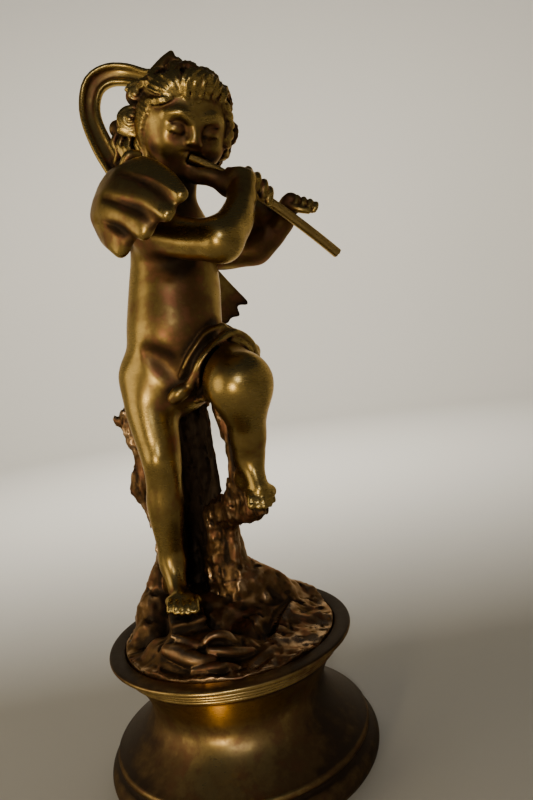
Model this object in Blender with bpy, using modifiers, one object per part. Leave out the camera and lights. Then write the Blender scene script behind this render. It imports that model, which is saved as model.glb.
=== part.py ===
"""Brass figurine: a winged child playing a flute, one foot raised on a tree stump, on a turned round pedestal.

Metres, +Z up. The origin is the centre of the pedestal's underside. The figure's front is towards -Y,
its right hand side towards -X.
"""

from math import cos, pi, radians, sin

import bmesh
import bpy
from mathutils import Matrix, Vector

MM = 0.001

# The pedestal, from the floor up: radii and heights of its turned mouldings
FOOT_RADIUS = 40.6 * MM
FOOT_HEIGHT = 8.0 * MM
STEP_RADIUS = 38.2 * MM
STEP_HEIGHT = 2.6 * MM
WAIST_RADIUS = 26.0 * MM
WAIST_LEVEL = 22.0 * MM
FLARE_SAG = 2.6 * MM
THROAT_SAG = 1.2 * MM
BEAD_RADIUS = 0.8 * MM
RIM_RADIUS = 36.3 * MM
RIM_LEVEL = 38.8 * MM
SEAT_RADIUS = 31.6 * MM
SEAT_DEPTH = 1.5 * MM
TURNED_STEPS = 32

# The figure with its ground, tree and wings: one casting that sits in the pedestal's top
FIGURE_HEIGHT = 174.0 * MM
FIT_GAP = 0.3 * MM
GRAIN = FIGURE_HEIGHT / 217.5
CASTING_SHARE = 0.043

# The flute, a slightly bent rod held through both hands
FLUTE_RADIUS = FIGURE_HEIGHT / 112
FLUTE_TAPER = 0.88
FLUTE_PIECES = 8

RIM_TOP = RIM_LEVEL + BEAD_RADIUS
SEAT_LEVEL = RIM_TOP - SEAT_DEPTH

# The pose below is written for a figure 174 units tall, so one unit is this long
UNIT = FIGURE_HEIGHT / 174.0


def spot(x, y, z):
    """A point of the pose: x to the figure's left, y to its back, z above the seat."""
    return Vector((x * UNIT, y * UNIT, SEAT_LEVEL + z * UNIT))


def u(*values):
    """Lengths of the pose, in metres."""
    return [value * UNIT for value in values]


# Joints of the pose
PELVIS = spot(-6.0, 0.0, 81.0)
BELLY = spot(-4.0, -1.0, 91.0)
RIBS = spot(-1.6, -1.0, 103.0)
CHEST = spot(-0.2, 0.0, 117.0)
NECK = spot(2.6, -1.0, 130.5)
HEAD = spot(7.8, -4.0, 149.0)
RIGHT_SHOULDER = spot(-4.0, -12.5, 119.5)
RIGHT_ELBOW = spot(13.0, -28.0, 111.9)
RIGHT_WRIST = spot(20.6, -15.0, 124.8)
LEFT_SHOULDER = spot(4.5, 11.0, 117.5)
LEFT_ELBOW = spot(24.4, 12.0, 115.4)
LEFT_WRIST = spot(33.4, 7.5, 121.5)
RIGHT_HIP = spot(-12.6, -1.5, 80.0)
RIGHT_KNEE = spot(-12.0, -7.0, 57.5)
RIGHT_ANKLE = spot(-14.0, -0.5, 24.0)
RIGHT_TOES = spot(-11.4, -12.5, 15.2)
LEFT_HIP = spot(4.0, 0.0, 83.0)
LEFT_KNEE = spot(12.7, -23.5, 75.5)
LEFT_ANKLE = spot(12.6, -13.0, 53.0)
LEFT_TOES = spot(13.2, -20.5, 45.6)
FLUTE_START = spot(8.1, -11.0, 138.1)
FLUTE_BEND = spot(26.6, -5.3, 129.1)
FLUTE_END = spot(48.6, 5.0, 109.4)

# Turns of the body about the vertical, 0 facing -Y and positive towards +X, and the bow of the head
CHEST_TURN = radians(70)
HEAD_TURN = radians(20)
HEAD_BOW = radians(36)
HEAD_LEAN = radians(8)

materials = {}


def material(name, colour, roughness):
    """A plain brass, shared by every object that asks for the same name."""
    if name not in materials:
        made = bpy.data.materials.new(name)
        made.use_nodes = True
        shader = made.node_tree.nodes["Principled BSDF"]
        shader.inputs["Base Color"].default_value = (*colour, 1.0)
        shader.inputs["Metallic"].default_value = 1.0
        shader.inputs["Roughness"].default_value = roughness
        materials[name] = made
    return materials[name]


def add_object(name, mesh, collection):
    thing = bpy.data.objects.new(name, mesh)
    collection.objects.link(thing)
    return thing


def subtract(target, name, mesh):
    """Cuts a helper solid, never shown, out of the target."""
    cutter = add_object(name, mesh, cutters)
    cutter.hide_render = True
    cutter.display_type = "WIRE"
    cut = target.modifiers.new("Cut " + name, "BOOLEAN")
    cut.operation = "DIFFERENCE"
    cut.solver = "EXACT"
    cut.object = cutter


def arc(centre, radius, start, end, steps):
    """Points of an arc in the profile's plane, angles in degrees from the outward side."""
    angles = [radians(start + (end - start) * i / steps) for i in range(steps + 1)]
    return [(centre[0] + radius * cos(a), centre[1] + radius * sin(a)) for a in angles]


def hollow(first, last, sag, steps):
    """Points between two ends along a line that sags inwards by sag at its middle."""
    points = []
    for i in range(1, steps):
        share = i / steps
        radius = first[0] + (last[0] - first[0]) * share - sag * 4 * share * (1 - share)
        points.append((radius, first[1] + (last[1] - first[1]) * share))
    return points


def pedestal_profile():
    """The turned outline, from the centre of the top, down the outer side, to the centre of the underside."""
    outline = [(0.0, SEAT_LEVEL), (SEAT_RADIUS, SEAT_LEVEL), (SEAT_RADIUS, RIM_TOP)]
    outline += arc((RIM_RADIUS - BEAD_RADIUS, RIM_LEVEL), BEAD_RADIUS, 80, -70, 3)
    lip = (RIM_RADIUS - 2.0 * BEAD_RADIUS, RIM_LEVEL - BEAD_RADIUS)
    waist = (WAIST_RADIUS, WAIST_LEVEL)
    throat = [lip, *hollow(lip, waist, THROAT_SAG, 8), waist]
    for bead in throat[2:5:2]:
        outline += arc(bead, BEAD_RADIUS, 80, -80, 3)
    outline += throat[5:]
    step = (STEP_RADIUS - 1.2 * BEAD_RADIUS, FOOT_HEIGHT + STEP_HEIGHT)
    outline += hollow(waist, step, FLARE_SAG, 7)
    outline += arc((STEP_RADIUS - STEP_HEIGHT / 2, FOOT_HEIGHT + STEP_HEIGHT / 2), STEP_HEIGHT / 2, 75, -50, 3)
    swell = FOOT_HEIGHT / 2 * 0.96
    outline += arc((FOOT_RADIUS - swell, FOOT_HEIGHT / 2), swell, 72, -60, 6)
    outline += [(FOOT_RADIUS - swell * 0.6, 0.0), (0.0, 0.0)]
    return outline


def build_pedestal():
    outline = bpy.data.meshes.new("pedestal")
    points = [(radius, 0.0, level) for radius, level in pedestal_profile()]
    outline.from_pydata(points, [(i, i + 1) for i in range(len(points) - 1)], [])
    pedestal = add_object("pedestal", outline, parts)
    turn = pedestal.modifiers.new("Turn", "SCREW")
    turn.steps = turn.render_steps = TURNED_STEPS
    turn.use_merge_vertices = True
    turn.merge_threshold = 0.00005
    turn.use_smooth_shade = True
    outline.materials.append(material("dark brass", (0.30, 0.20, 0.08), 0.35))
    return pedestal


def flute_point(share):
    """A point of the flute's centre line, a shallow bend from the mouth to the open end."""
    first = FLUTE_START.lerp(FLUTE_BEND, share)
    return first.lerp(FLUTE_BEND.lerp(FLUTE_END, share), share)


def flute_curve(name, radius):
    """The flute's centre line, thickened into a closed round rod."""
    line = bpy.data.curves.new(name, "CURVE")
    line.dimensions = "3D"
    line.bevel_depth = radius
    line.bevel_resolution = 3
    line.use_fill_caps = True
    path = line.splines.new("POLY")
    path.points.add(FLUTE_PIECES)
    for i, point in enumerate(path.points):
        share = i / FLUTE_PIECES
        point.co = (*flute_point(share), 1.0)
        point.radius = FLUTE_TAPER + (1 - FLUTE_TAPER) * share
    return line


def build_flute():
    line = flute_curve("flute", FLUTE_RADIUS)
    line.materials.append(material("flute brass", (0.42, 0.28, 0.10), 0.35))
    return add_object("flute", line, parts)


def flute_channel():
    """The way through the hands that leaves the flute a small gap all round."""
    guide = add_object("flute guide", flute_curve("flute guide", FLUTE_RADIUS + 1.3 * FIT_GAP), cutters)
    guide.hide_render = True
    channel = bpy.data.meshes.new_from_object(guide)
    form = bmesh.new()
    form.from_mesh(channel)
    bmesh.ops.remove_doubles(form, verts=form.verts, dist=1e-6)
    bmesh.ops.recalc_face_normals(form, faces=form.faces)
    form.to_mesh(channel)
    form.free()
    return channel


class Clay:
    """Closed lumps pressed together into one mesh, which a voxel remesh then fuses."""

    def __init__(self):
        self.form = bmesh.new()

    def lump(self, balls, fineness=2):
        """The tight skin around several balls, each a point and a radius."""
        cloud = bmesh.new()
        for point, radius in balls:
            bmesh.ops.create_icosphere(
                cloud, subdivisions=fineness, radius=radius, matrix=Matrix.Translation(point)
            )
        bmesh.ops.delete(cloud, geom=cloud.edges[:] + cloud.faces[:], context="EDGES_FACES")
        made = bmesh.ops.convex_hull(cloud, input=cloud.verts)
        spare = {g for g in made["geom_interior"] + made["geom_unused"] if isinstance(g, bmesh.types.BMVert)}
        bmesh.ops.delete(cloud, geom=list(spare), context="VERTS")
        skin = bpy.data.meshes.new("skin")
        cloud.to_mesh(skin)
        cloud.free()
        self.form.from_mesh(skin)
        bpy.data.meshes.remove(skin)

    def chain(self, points, radii, fineness=2):
        """A limb: tight skins around each pair of neighbouring balls."""
        balls = list(zip(points, radii))
        for near, far in zip(balls, balls[1:]):
            self.lump([near, far], fineness)

    def blade(self, points, widths, thickness, hub):
        """A feather or band: a chain of flat lobes whose faces look away from the hub."""
        stations = []
        for i, point in enumerate(points):
            along = points[min(i + 1, len(points) - 1)] - points[max(i - 1, 0)]
            across = along.cross(point - hub).normalized()
            reach = max(widths[i] - thickness, 0.0) / 2
            stations.append([(point - across * reach, thickness / 2), (point + across * reach, thickness / 2)])
        for near, far in zip(stations, stations[1:]):
            self.lump(near + far, 1)

    def block(self, centre, size, turn):
        matrix = Matrix.LocRotScale(centre, Matrix.Rotation(turn, 3, "Z"), size)
        bmesh.ops.create_cube(self.form, size=1.0, matrix=matrix)

    def mesh(self, name):
        made = bpy.data.meshes.new(name)
        self.form.to_mesh(made)
        self.form.free()
        return made


def facing(angle):
    """The figure's own left and forward directions once it has turned by angle."""
    return Vector((cos(angle), sin(angle), 0.0)), Vector((sin(angle), -cos(angle), 0.0))


def head_axes():
    """The head's left, forward and up, once turned, bowed and leant over."""
    spin = (
        Matrix.Rotation(HEAD_LEAN, 3, "Y")
        @ Matrix.Rotation(HEAD_TURN, 3, "Z")
        @ Matrix.Rotation(HEAD_BOW, 3, "X")
    )
    return spin @ Vector((1, 0, 0)), spin @ Vector((0, -1, 0)), spin @ Vector((0, 0, 1))


def model_body(clay):
    clay.chain([PELVIS, BELLY, RIBS, CHEST], u(12.6, 13.4, 13.2, 11.6))
    clay.lump(list(zip([CHEST, RIGHT_SHOULDER, LEFT_SHOULDER], u(10.0, 6.0, 5.8))))
    clay.chain([CHEST + Vector(u(0, 0, 3)), NECK, HEAD], u(8.5, 6.2, 7.5))
    clay.lump(list(zip([PELVIS, RIGHT_HIP], u(12.0, 8.4))))
    clay.lump(list(zip([PELVIS, LEFT_HIP], u(12.0, 9.0))))
    clay.chain([spot(-10.5, 6.0, 78.5), spot(1.0, 7.5, 80.0)], u(8.2, 8.2))


def model_legs(clay):
    shin = [RIGHT_KNEE, spot(-12.6, -5.5, 46.5), spot(-13.6, -3.0, 38.0), RIGHT_ANKLE]
    clay.chain([RIGHT_HIP, spot(-13.0, -4.5, 72.0), *shin], u(8.4, 8.0, 5.7, 5.5, 5.0, 3.5))
    clay.chain([RIGHT_ANKLE, spot(-15.4, 3.2, 16.5), RIGHT_TOES], u(3.5, 3.6, 2.6))
    clay.lump(list(zip([RIGHT_ANKLE, spot(-13.5, -6.5, 17.0), RIGHT_TOES], u(3.5, 3.5, 2.8))))
    model_toes(clay, RIGHT_TOES, radians(10), u(2.3)[0])
    calf = [spot(13.0, -21.0, 68.0), spot(12.8, -17.5, 61.5)]
    clay.chain([LEFT_HIP, LEFT_KNEE, *calf, LEFT_ANKLE], u(9.0, 8.4, 6.4, 5.2, 3.4))
    clay.chain([LEFT_ANKLE, spot(10.6, -11.5, 47.5), LEFT_TOES], u(3.4, 3.3, 2.6))
    clay.lump(list(zip([LEFT_ANKLE, spot(13.6, -18.0, 48.4), LEFT_TOES], u(3.4, 3.0, 2.8))))
    model_toes(clay, LEFT_TOES, radians(4), u(1.5)[0])


def model_toes(clay, ball, turn, spacing):
    """Five toes fanned across the front of a foot."""
    left, forward = facing(turn)
    for toe in range(5):
        across = (toe - 2) * spacing
        root = ball + left * across * 0.8
        tip = root + left * across * 0.3 + forward * u(3.4)[0] + Vector(u(0, 0, -1.6))
        clay.chain([root, tip], u(1.6, 1.3), 1)


def model_arms(clay):
    clay.chain([RIGHT_SHOULDER, RIGHT_ELBOW], u(6.0, 5.3))
    clay.chain([RIGHT_ELBOW, RIGHT_ELBOW.lerp(RIGHT_WRIST, 0.5), RIGHT_WRIST], u(5.3, 4.6, 3.6))
    clay.chain([LEFT_SHOULDER, LEFT_ELBOW], u(5.8, 5.0))
    clay.lump(list(zip([LEFT_SHOULDER.lerp(LEFT_ELBOW, 0.6), LEFT_ELBOW, LEFT_WRIST], u(5.6, 4.8, 3.4))))
    clay.chain([LEFT_ELBOW, LEFT_ELBOW.lerp(LEFT_WRIST, 0.5), LEFT_WRIST], u(5.0, 4.8, 3.4))
    web = [spot(24.0, 11.0, 121.5), spot(28.6, 8.4, 123.6), spot(25.4, 9.0, 127.2)]
    clay.lump(list(zip(web, u(3.4, 3.4, 3.4))))
    right_palm = spot(22.8, -10.5, 130.0)
    right_knuckles = [spot(24.8 + 1.75 * i, -8.0 + 0.6 * i, 132.0 - 1.45 * i) for i in range(4)]
    model_hand(clay, RIGHT_WRIST, right_palm, flute_point(0.42), right_knuckles)
    clay.chain([right_palm, spot(18.6, -10.5, 132.0), flute_point(0.26) + Vector(u(0, -1.0, 0.6))], u(3.2, 2.4, 1.6))
    left_palm = spot(36.2, 6.6, 125.6)
    left_knuckles = [spot(38.0 + 2.1 * i, 3.4 - 0.6 * i, 127.2 - 0.9 * i) for i in range(4)]
    model_hand(clay, LEFT_WRIST, left_palm, flute_point(0.7) + Vector(u(0, 1.4, 1.4)), left_knuckles)


def model_hand(clay, wrist, palm, grip, knuckles):
    """A hand laid over the flute, its fingers side by side and bent down onto it."""
    clay.chain([wrist, palm], u(3.4, 3.7))
    clay.lump(list(zip([palm, grip], u(3.4, 2.2))))
    for knuckle in knuckles:
        root = palm.lerp(knuckle, 0.45) + Vector(u(0, 1.2, 0.2))
        tip = knuckle + Vector(u(0.2, -1.4, -4.4))
        clay.chain([root, knuckle, tip], u(1.8, 1.3, 1.05), 1)


def model_head(clay):
    left, forward, up = head_axes()
    clay.lump(list(zip([HEAD, HEAD + forward * u(2.2)[0] - up * u(3.2)[0]], u(13.2, 11.8))), 3)
    jaw = HEAD + forward * u(6.6)[0] - up * u(11.2)[0]
    clay.lump(list(zip([HEAD - up * u(3)[0], jaw], u(10.4, 4.6))))
    for side in (-1, 1):
        cheek = HEAD + left * side * u(5.0)[0] + forward * u(7.6)[0] - up * u(6.2)[0]
        clay.lump([(cheek, u(4.9)[0])])
    nose = HEAD + forward * u(13.9)[0] - up * u(4.8)[0]
    clay.chain([HEAD + forward * u(12.2)[0] - up * u(1.0)[0], nose], u(1.3, 1.8))
    lips = HEAD + forward * u(12.4)[0] - up * u(8.6)[0]
    clay.chain([lips - left * u(1.6)[0], lips + left * u(1.6)[0]], u(1.3, 1.3), 1)


def model_hair(clay):
    """Locks combed back from the hairline in three tiers, and two big curls over the right ear."""
    left, forward, up = head_axes()

    def on_skull(swing, lift, height):
        """A point above the skull: swing round from the brow to the left, lift above the ears."""
        way = left * sin(swing) * cos(lift) + forward * cos(swing) * cos(lift) + up * sin(lift)
        return HEAD + way * u(13.4 + height)[0]

    tiers = ((13, 128, 0.0, 40), (12, 150, 30.0, 34), (9, 165, 62.0, 30))
    for locks, spread, rise, sweep in tiers:
        for lock in range(locks):
            side = 2 * lock / (locks - 1) - 1
            hairline = 54 - 72 * abs(side) ** 1.3 + rise * (1 - 0.25 * abs(side))
            swell = 1.0 - 0.45 * abs(side)
            swing = side * spread
            points = []
            for step in range(4):
                share = step / 3
                wave = 7 * sin(3.2 * share + 1.7 * lock)
                lift = hairline + sweep * share * (1 - 0.5 * abs(side))
                height = 0.2 + 1.5 * swell * sin(pi * share)
                points.append(on_skull(radians(swing + wave), radians(lift), height))
            clay.chain(points, u(1.5, 2.2, 2.1, 1.5), 1)
    clay.lump(list(zip([spot(10.5, -4.5, 161.0), spot(15.0, -5.0, 159.6)], u(4.6, 4.6))))
    clay.chain([spot(20.5, 0.5, 153.0), spot(20.4, 1.0, 148.0), spot(18.6, 1.0, 143.8)], u(2.4, 2.7, 2.2), 1)
    bunch = ((spot(-6.4, -2.0, 153.4), 5.2), (spot(-4.2, -1.5, 160.6), 4.0), (spot(-7.0, -2.5, 146.0), 4.4))
    clay.chain([spot(-14.6, 6.5, 151.4), spot(-9.5, 2.0, 151.0), HEAD], u(3.4, 4.4, 6.0))
    clay.chain([spot(-12.8, 6.0, 143.0), spot(-8.0, 0.5, 145.0), HEAD], u(2.6, 4.2, 6.0))
    for centre, size in bunch:
        clay.lump([(centre, u(size * 0.75)[0]), (HEAD.lerp(centre, 0.55), u(5.0)[0])])
        model_curl(clay, centre, u(size * 0.72)[0])


def model_curl(clay, centre, radius):
    """A rose-like curl that faces the viewer: a strand wound round a middle knob."""
    strand = []
    for step in range(9):
        angle = 2 * pi * step / 8
        reach = radius * (1.1 - 0.35 * step / 8)
        strand.append(centre + Vector((cos(angle) * reach, -radius * 0.55, sin(angle) * reach)))
    clay.chain(strand, [radius * 0.36] * 9, 1)
    clay.lump([(centre - Vector((0, radius * 0.7, 0)), radius * 0.4)], 1)


def model_ribbon(clay):
    """The blown ribbon: up the back in a loop beside the head, a channel between raised edges, to a curled tip."""
    loop = [
        spot(-9.0, 6.5, 126.0), spot(-11.5, 6.0, 135.0), spot(-13.6, 7.0, 142.0), spot(-16.4, 9.0, 149.0),
        spot(-18.9, 11.0, 157.3), spot(-19.1, 12.0, 163.6), spot(-16.9, 12.0, 169.0), spot(-12.3, 12.0, 171.7),
        spot(-6.8, 11.5, 171.2), spot(-1.1, 10.0, 168.4), spot(3.6, 8.0, 167.8), spot(7.4, 6.0, 169.4),
    ]
    hub = spot(-9.0, -60.0, 155.0)
    clay.blade(loop, u(6, 6, 6.4, 6.6, 6.4, 6.4, 6.6, 6.8, 6.4, 5.8, 5.6, 4.2), u(2.2)[0], hub)
    for side in (-1, 1):
        edge = []
        for i, point in enumerate(loop):
            along = loop[min(i + 1, len(loop) - 1)] - loop[max(i - 1, 0)]
            across = along.cross(point - hub).normalized()
            edge.append(point + across * side * u(2.5)[0] - Vector(u(0, 1.2, 0)))
        clay.chain(edge, [u(0.9)[0]] * len(edge), 1)
    clay.lump(list(zip([spot(9.4, 5.5, 169.6), spot(8.0, 6.0, 171.8), spot(4.6, 5.0, 166.0)], u(1.6, 0.7, 3.0))), 1)
    sash = [spot(17.0, 5.0, 85.0), spot(6.0, 13.5, 94.0), spot(-6.0, 12.0, 108.0), spot(-9.0, 8.0, 122.0)]
    clay.chain(sash, u(2.4, 2.4, 2.6, 2.6))


def model_sash(clay):
    """The cloth over the left hip and the roll that runs down from it, ending in a soft lobe between the legs."""
    clay.chain([spot(17.0, 5.0, 85.0), spot(18.4, -5.0, 82.0)], u(2.2, 2.0))
    band = [spot(18.4, -5.5, 81.6), spot(17.6, -9.0, 86.0), spot(13.2, -12.4, 88.6), spot(8.0, -14.0, 88.6)]
    clay.chain(band, u(1.6, 2.1, 2.1, 1.9))
    roll = [spot(8.2, -14.4, 88.0), spot(4.4, -15.2, 84.0), spot(1.6, -15.8, 79.8), spot(-0.4, -15.4, 77.2)]
    clay.chain(roll, u(1.7, 1.5, 1.4, 1.5))
    clay.lump(list(zip([spot(-1.0, -15.0, 76.4), spot(-4.6, -14.0, 73.2)], u(2.5, 3.1))))


def model_wings(clay):
    """Two small cupped wings of four flat feathers each, swept round from the shoulder blades."""
    near = [
        ([spot(-9.5, -8, 130), spot(-9, -18, 133), spot(-6, -27.5, 132), spot(0.4, -36.5, 126.2), spot(5.0, -43, 120)]),
        ([spot(-10.5, -6, 127), spot(-14.2, -18, 129.8), spot(-11, -30, 126.5), spot(-3, -38, 120.2), spot(0.8, -43, 115.3)]),
        ([spot(-11, -4, 124), spot(-17.2, -17, 127.4), spot(-15.4, -28, 122.8), spot(-8, -36, 117), spot(-5.2, -39, 112.9)]),
        ([spot(-11, -3, 121), spot(-16.8, -15, 122.6), spot(-16.2, -24, 119.4), spot(-14, -30.5, 115.5), spot(-12.6, -33, 110.4)]),
    ]
    for feather in near:
        clay.blade(feather, u(7, 10, 10, 8, 3.4), u(3.2)[0], RIGHT_SHOULDER)
    far = [
        ([spot(-5, 9, 125), spot(-1, 17, 124), spot(5, 25, 117), spot(14, 31, 106), spot(21.6, 35, 99.6)]),
        ([spot(-6, 9, 123), spot(-3, 17, 121.5), spot(1.5, 25, 112), spot(10, 31, 101.5), spot(18.4, 34.5, 95.6)]),
        ([spot(-7, 9, 120), spot(-5, 16, 116), spot(-2, 24, 107), spot(5, 29.5, 99.5), spot(13.4, 33, 94.4)]),
        ([spot(-8, 9, 117), spot(-7.5, 15, 111), spot(-6, 21, 104), spot(-1, 27, 98.5), spot(3.4, 30.5, 95.4)]),
    ]
    for feather in far:
        clay.blade(feather, u(7, 9, 9, 7.6, 3.4), u(3.0)[0], CHEST - Vector(u(0, 0, 12)))


def model_tree(clay):
    """The hollow trunk behind the legs, its broken edges, and the stump that carries the raised foot."""
    wall = [spot(-22, 8, 2), spot(-19, 10, 14), spot(-16.5, 11.5, 27), spot(-18.6, 12, 40)]
    wall += [spot(-21.4, 12, 46), spot(-19.4, 12, 55), spot(-21, 12, 62), spot(-22, 12, 69)]
    clay.chain(wall, u(6.5, 4.6, 3.4, 3.4, 3.8, 3.4, 3.4, 3.0))
    clay.chain([spot(-22, 12, 66), spot(-26.8, 12, 68.6)], u(2.6, 1.2))
    clay.chain([spot(-20.5, 12, 46.5), spot(-24.2, 12, 44.8)], u(3.2, 1.5))
    clay.chain([spot(-15, 15, 4), spot(-14, 16, 36), spot(-14, 14.5, 70)], u(6.5, 4.4, 4.4))
    clay.chain([spot(-6, 19, 0), spot(-7, 18.5, 36), spot(-6, 15.5, 70), spot(-7, 9, 76)], u(8.0, 5.0, 4.6, 6.0))
    clay.chain([spot(0, 13, 2), spot(-1, 13, 34), spot(-0.5, 11, 66)], u(7.0, 3.6, 3.4))
    clay.lump([(spot(-14, 15, y), u(3.8)[0]) for y in (3, 68)] + [(spot(-6, 17.5, y), u(4.0)[0]) for y in (3, 68)])
    clay.lump([(spot(-6, 17.5, y), u(4.0)[0]) for y in (3, 68)] + [(spot(-1, 12.5, y), u(3.2)[0]) for y in (3, 66)])
    lip = [spot(0.4, 9, 34), spot(1.6, 7.5, 46), spot(1.4, 8, 58), spot(1.6, 7, 68), spot(2.5, 3, 75)]
    clay.chain(lip, u(3.0, 1.5, 1.7, 1.6, 3.0))
    fringe = [spot(6.6, -4, 73), spot(7.6, -8, 65), spot(7.8, -10, 57), spot(7.8, -9.5, 49), spot(5.8, -4.5, 41)]
    clay.chain(fringe, u(3.6, 2.6, 2.0, 2.2, 3.4))
    stump = [spot(4, 6, 0), spot(1.8, 4.4, 18), spot(1.8, 3.6, 30), spot(2.6, 2.0, 38)]
    clay.chain(stump, u(11.0, 5.6, 4.6, 4.0))
    clay.chain([spot(3.6, 1.6, 38.5), spot(8.0, -6.0, 40.5), spot(12.2, -14.5, 41.0)], u(3.8, 3.6, 2.8))
    clay.lump(list(zip([spot(11.5, -12.0, 42.5), spot(13.5, -20.0, 42.2), spot(9.0, -8, 46.0)], u(2.8, 1.6, 3.0))))
    for ridge in range(7):
        swing = radians(-60 + 36 * ridge)
        foot = spot(3.5 + 9.5 * sin(swing), 5 - 9.5 * cos(swing), 3)
        top = spot(2.6 + 4.6 * sin(swing), 3.8 - 4.6 * cos(swing), 31)
        clay.chain([foot, foot.lerp(top, 0.5) - Vector(u(0, 0, 5)), top], u(2.6, 1.5, 1.1), 1)


def model_ground(clay):
    """Rough ground filling the pedestal's rim: a flat stone under the toes, a curled root, a cleft, rocks."""
    floor_radius = SEAT_RADIUS - FIT_GAP
    bmesh.ops.create_cone(
        clay.form, cap_ends=True, segments=40, radius1=floor_radius, radius2=floor_radius - 1.2 * UNIT,
        depth=9.0 * UNIT, matrix=Matrix.Translation(spot(0, 0, -2.2)),
    )
    clay.lump(list(zip([spot(-4, 6, -5), spot(8, 8, -4)], u(19.0, 17.0))))
    clay.chain([spot(8, 5, 12), spot(13, 6, 9.5), spot(19.5, 8.5, 4.5)], u(7.5, 6.0, 4.6))
    clay.lump(list(zip([spot(18, 12, 3), spot(25.5, 11, 1.5), spot(22, 3, 0.5)], u(5.6, 3.6, 4.6))))
    clay.lump(list(zip([spot(17, -2, 1.5), spot(24, -5, -0.5), spot(12.5, -14, -0.6)], u(5.0, 3.6, 4.0))))
    clay.lump(list(zip([spot(7, -6, 2.0), spot(4, -12, 0.0)], u(5.4, 5.0))))
    clay.chain([spot(-18.5, 8, 18), spot(-22, 4, 9), spot(-25.0, -2, 2)], u(4.0, 5.4, 4.6))
    clay.block(spot(-11.4, -11.5, 7.6), Vector(u(10.4, 10.5, 10.0)), radians(10))
    root = [spot(-20, -14, 2.5), spot(-13, -20, 3.6), spot(-6, -23, 4.6), spot(-1.5, -22.6, 6.0), spot(1.4, -21.0, 4.6)]
    clay.chain(root, u(3.0, 3.2, 2.6, 2.0, 2.0))
    clay.chain([spot(-12, -23, 0.5), spot(-3, -25, 1.2), spot(6, -22.5, 1.4)], u(3.6, 3.4, 2.4))


def casting_clay():
    clay = Clay()
    model_body(clay)
    model_legs(clay)
    model_arms(clay)
    model_head(clay)
    model_hair(clay)
    model_ribbon(clay)
    model_sash(clay)
    model_wings(clay)
    model_tree(clay)
    model_ground(clay)
    return clay.mesh("cherub")


def below_the_seat():
    """Everything lower than the casting's flat foot."""
    depth = 30 * MM
    middle = Vector((0, 0, SEAT_LEVEL + FIT_GAP - depth / 2))
    slab = bmesh.new()
    size = Vector((4 * SEAT_RADIUS, 4 * SEAT_RADIUS, depth))
    bmesh.ops.create_cube(slab, size=1.0, matrix=Matrix.LocRotScale(middle, None, size))
    mesh = bpy.data.meshes.new("below the seat")
    slab.to_mesh(mesh)
    slab.free()
    return mesh


def build_casting():
    casting = add_object("cherub", casting_clay(), parts)
    fuse = casting.modifiers.new("Fuse", "REMESH")
    fuse.mode = "VOXEL"
    fuse.voxel_size = GRAIN
    soften = casting.modifiers.new("Soften", "SMOOTH")
    soften.factor = 0.5
    soften.iterations = 3
    thin = casting.modifiers.new("Thin", "DECIMATE")
    thin.ratio = CASTING_SHARE
    subtract(casting, "flute channel", flute_channel())
    subtract(casting, "below the seat", below_the_seat())
    casting.data.materials.append(material("worn brass", (0.45, 0.31, 0.12), 0.32))
    return casting


for old in list(bpy.data.objects):
    bpy.data.objects.remove(old)
parts = bpy.data.collections.new("Flute player figurine")
cutters = bpy.data.collections.new("Cutters")
for group in (parts, cutters):
    bpy.context.scene.collection.children.link(group)

build_pedestal()
build_flute()
build_casting()
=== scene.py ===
"""Brass flute player figurine: the fine carving, the worn brass finish, the light and the camera.

The carving is modelled in millimetres on a grid of distances, then skinned. The figure faces -Y.
"""

from math import cos, hypot, pi, radians, sin

import bmesh
import bpy
import numpy as np
from mathutils import Matrix, Vector


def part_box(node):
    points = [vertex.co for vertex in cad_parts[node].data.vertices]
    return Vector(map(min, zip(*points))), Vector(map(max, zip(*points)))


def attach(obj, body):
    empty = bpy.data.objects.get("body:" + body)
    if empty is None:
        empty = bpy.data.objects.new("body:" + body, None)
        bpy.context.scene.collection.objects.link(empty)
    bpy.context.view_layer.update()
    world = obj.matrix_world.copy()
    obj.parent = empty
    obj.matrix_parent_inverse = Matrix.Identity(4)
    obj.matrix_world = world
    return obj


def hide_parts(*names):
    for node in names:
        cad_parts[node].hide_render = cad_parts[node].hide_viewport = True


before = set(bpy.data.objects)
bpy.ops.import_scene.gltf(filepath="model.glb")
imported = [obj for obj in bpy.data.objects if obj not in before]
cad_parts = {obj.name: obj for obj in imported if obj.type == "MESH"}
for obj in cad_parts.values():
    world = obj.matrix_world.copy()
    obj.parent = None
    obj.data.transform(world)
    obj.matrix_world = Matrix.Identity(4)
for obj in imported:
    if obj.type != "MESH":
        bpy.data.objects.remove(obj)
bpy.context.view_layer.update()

MM = 0.001

# Sizes taken from the frame
CASTING_LOW, CASTING_HIGH = [np.array(corner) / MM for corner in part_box("cherub")]
PEDESTAL_HIGH = np.array(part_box("pedestal")[1]) / MM
FIT_GAP = 0.3
SEAT_LEVEL = CASTING_LOW[2] - FIT_GAP
RIM_TOP = PEDESTAL_HIGH[2]
FOOT_RADIUS = PEDESTAL_HIGH[0]

# The pedestal's turned mouldings
FOOT_HEIGHT = 8.0
STEP_RADIUS = 38.2
STEP_HEIGHT = 2.6
WAIST_RADIUS = 25.4
WAIST_LEVEL = 22.0
WAIST_ROUNDING = 110
FLARE_SAG = 2.6
THROAT_SAG = 1.2
BEAD_RADIUS = 0.8
RING_RADIUS = 0.6
RIM_RADIUS = 36.3
SEAT_RADIUS = 31.6
SEAT_FILLET = 0.3
RIM_CHAMFER = 0.35
TURNED_STEPS = 192

# The round foot of the casting, and the level above the seat up to which its wood counts as ground
CASTING_FOOT_RADIUS = SEAT_RADIUS - FIT_GAP
GROUND_CEILING = 25.0

# How many strokes the ground gets, and how steep a step may be under one of them
GROUND_STROKES = 460
STEEPEST_STEP = 1.6

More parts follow.
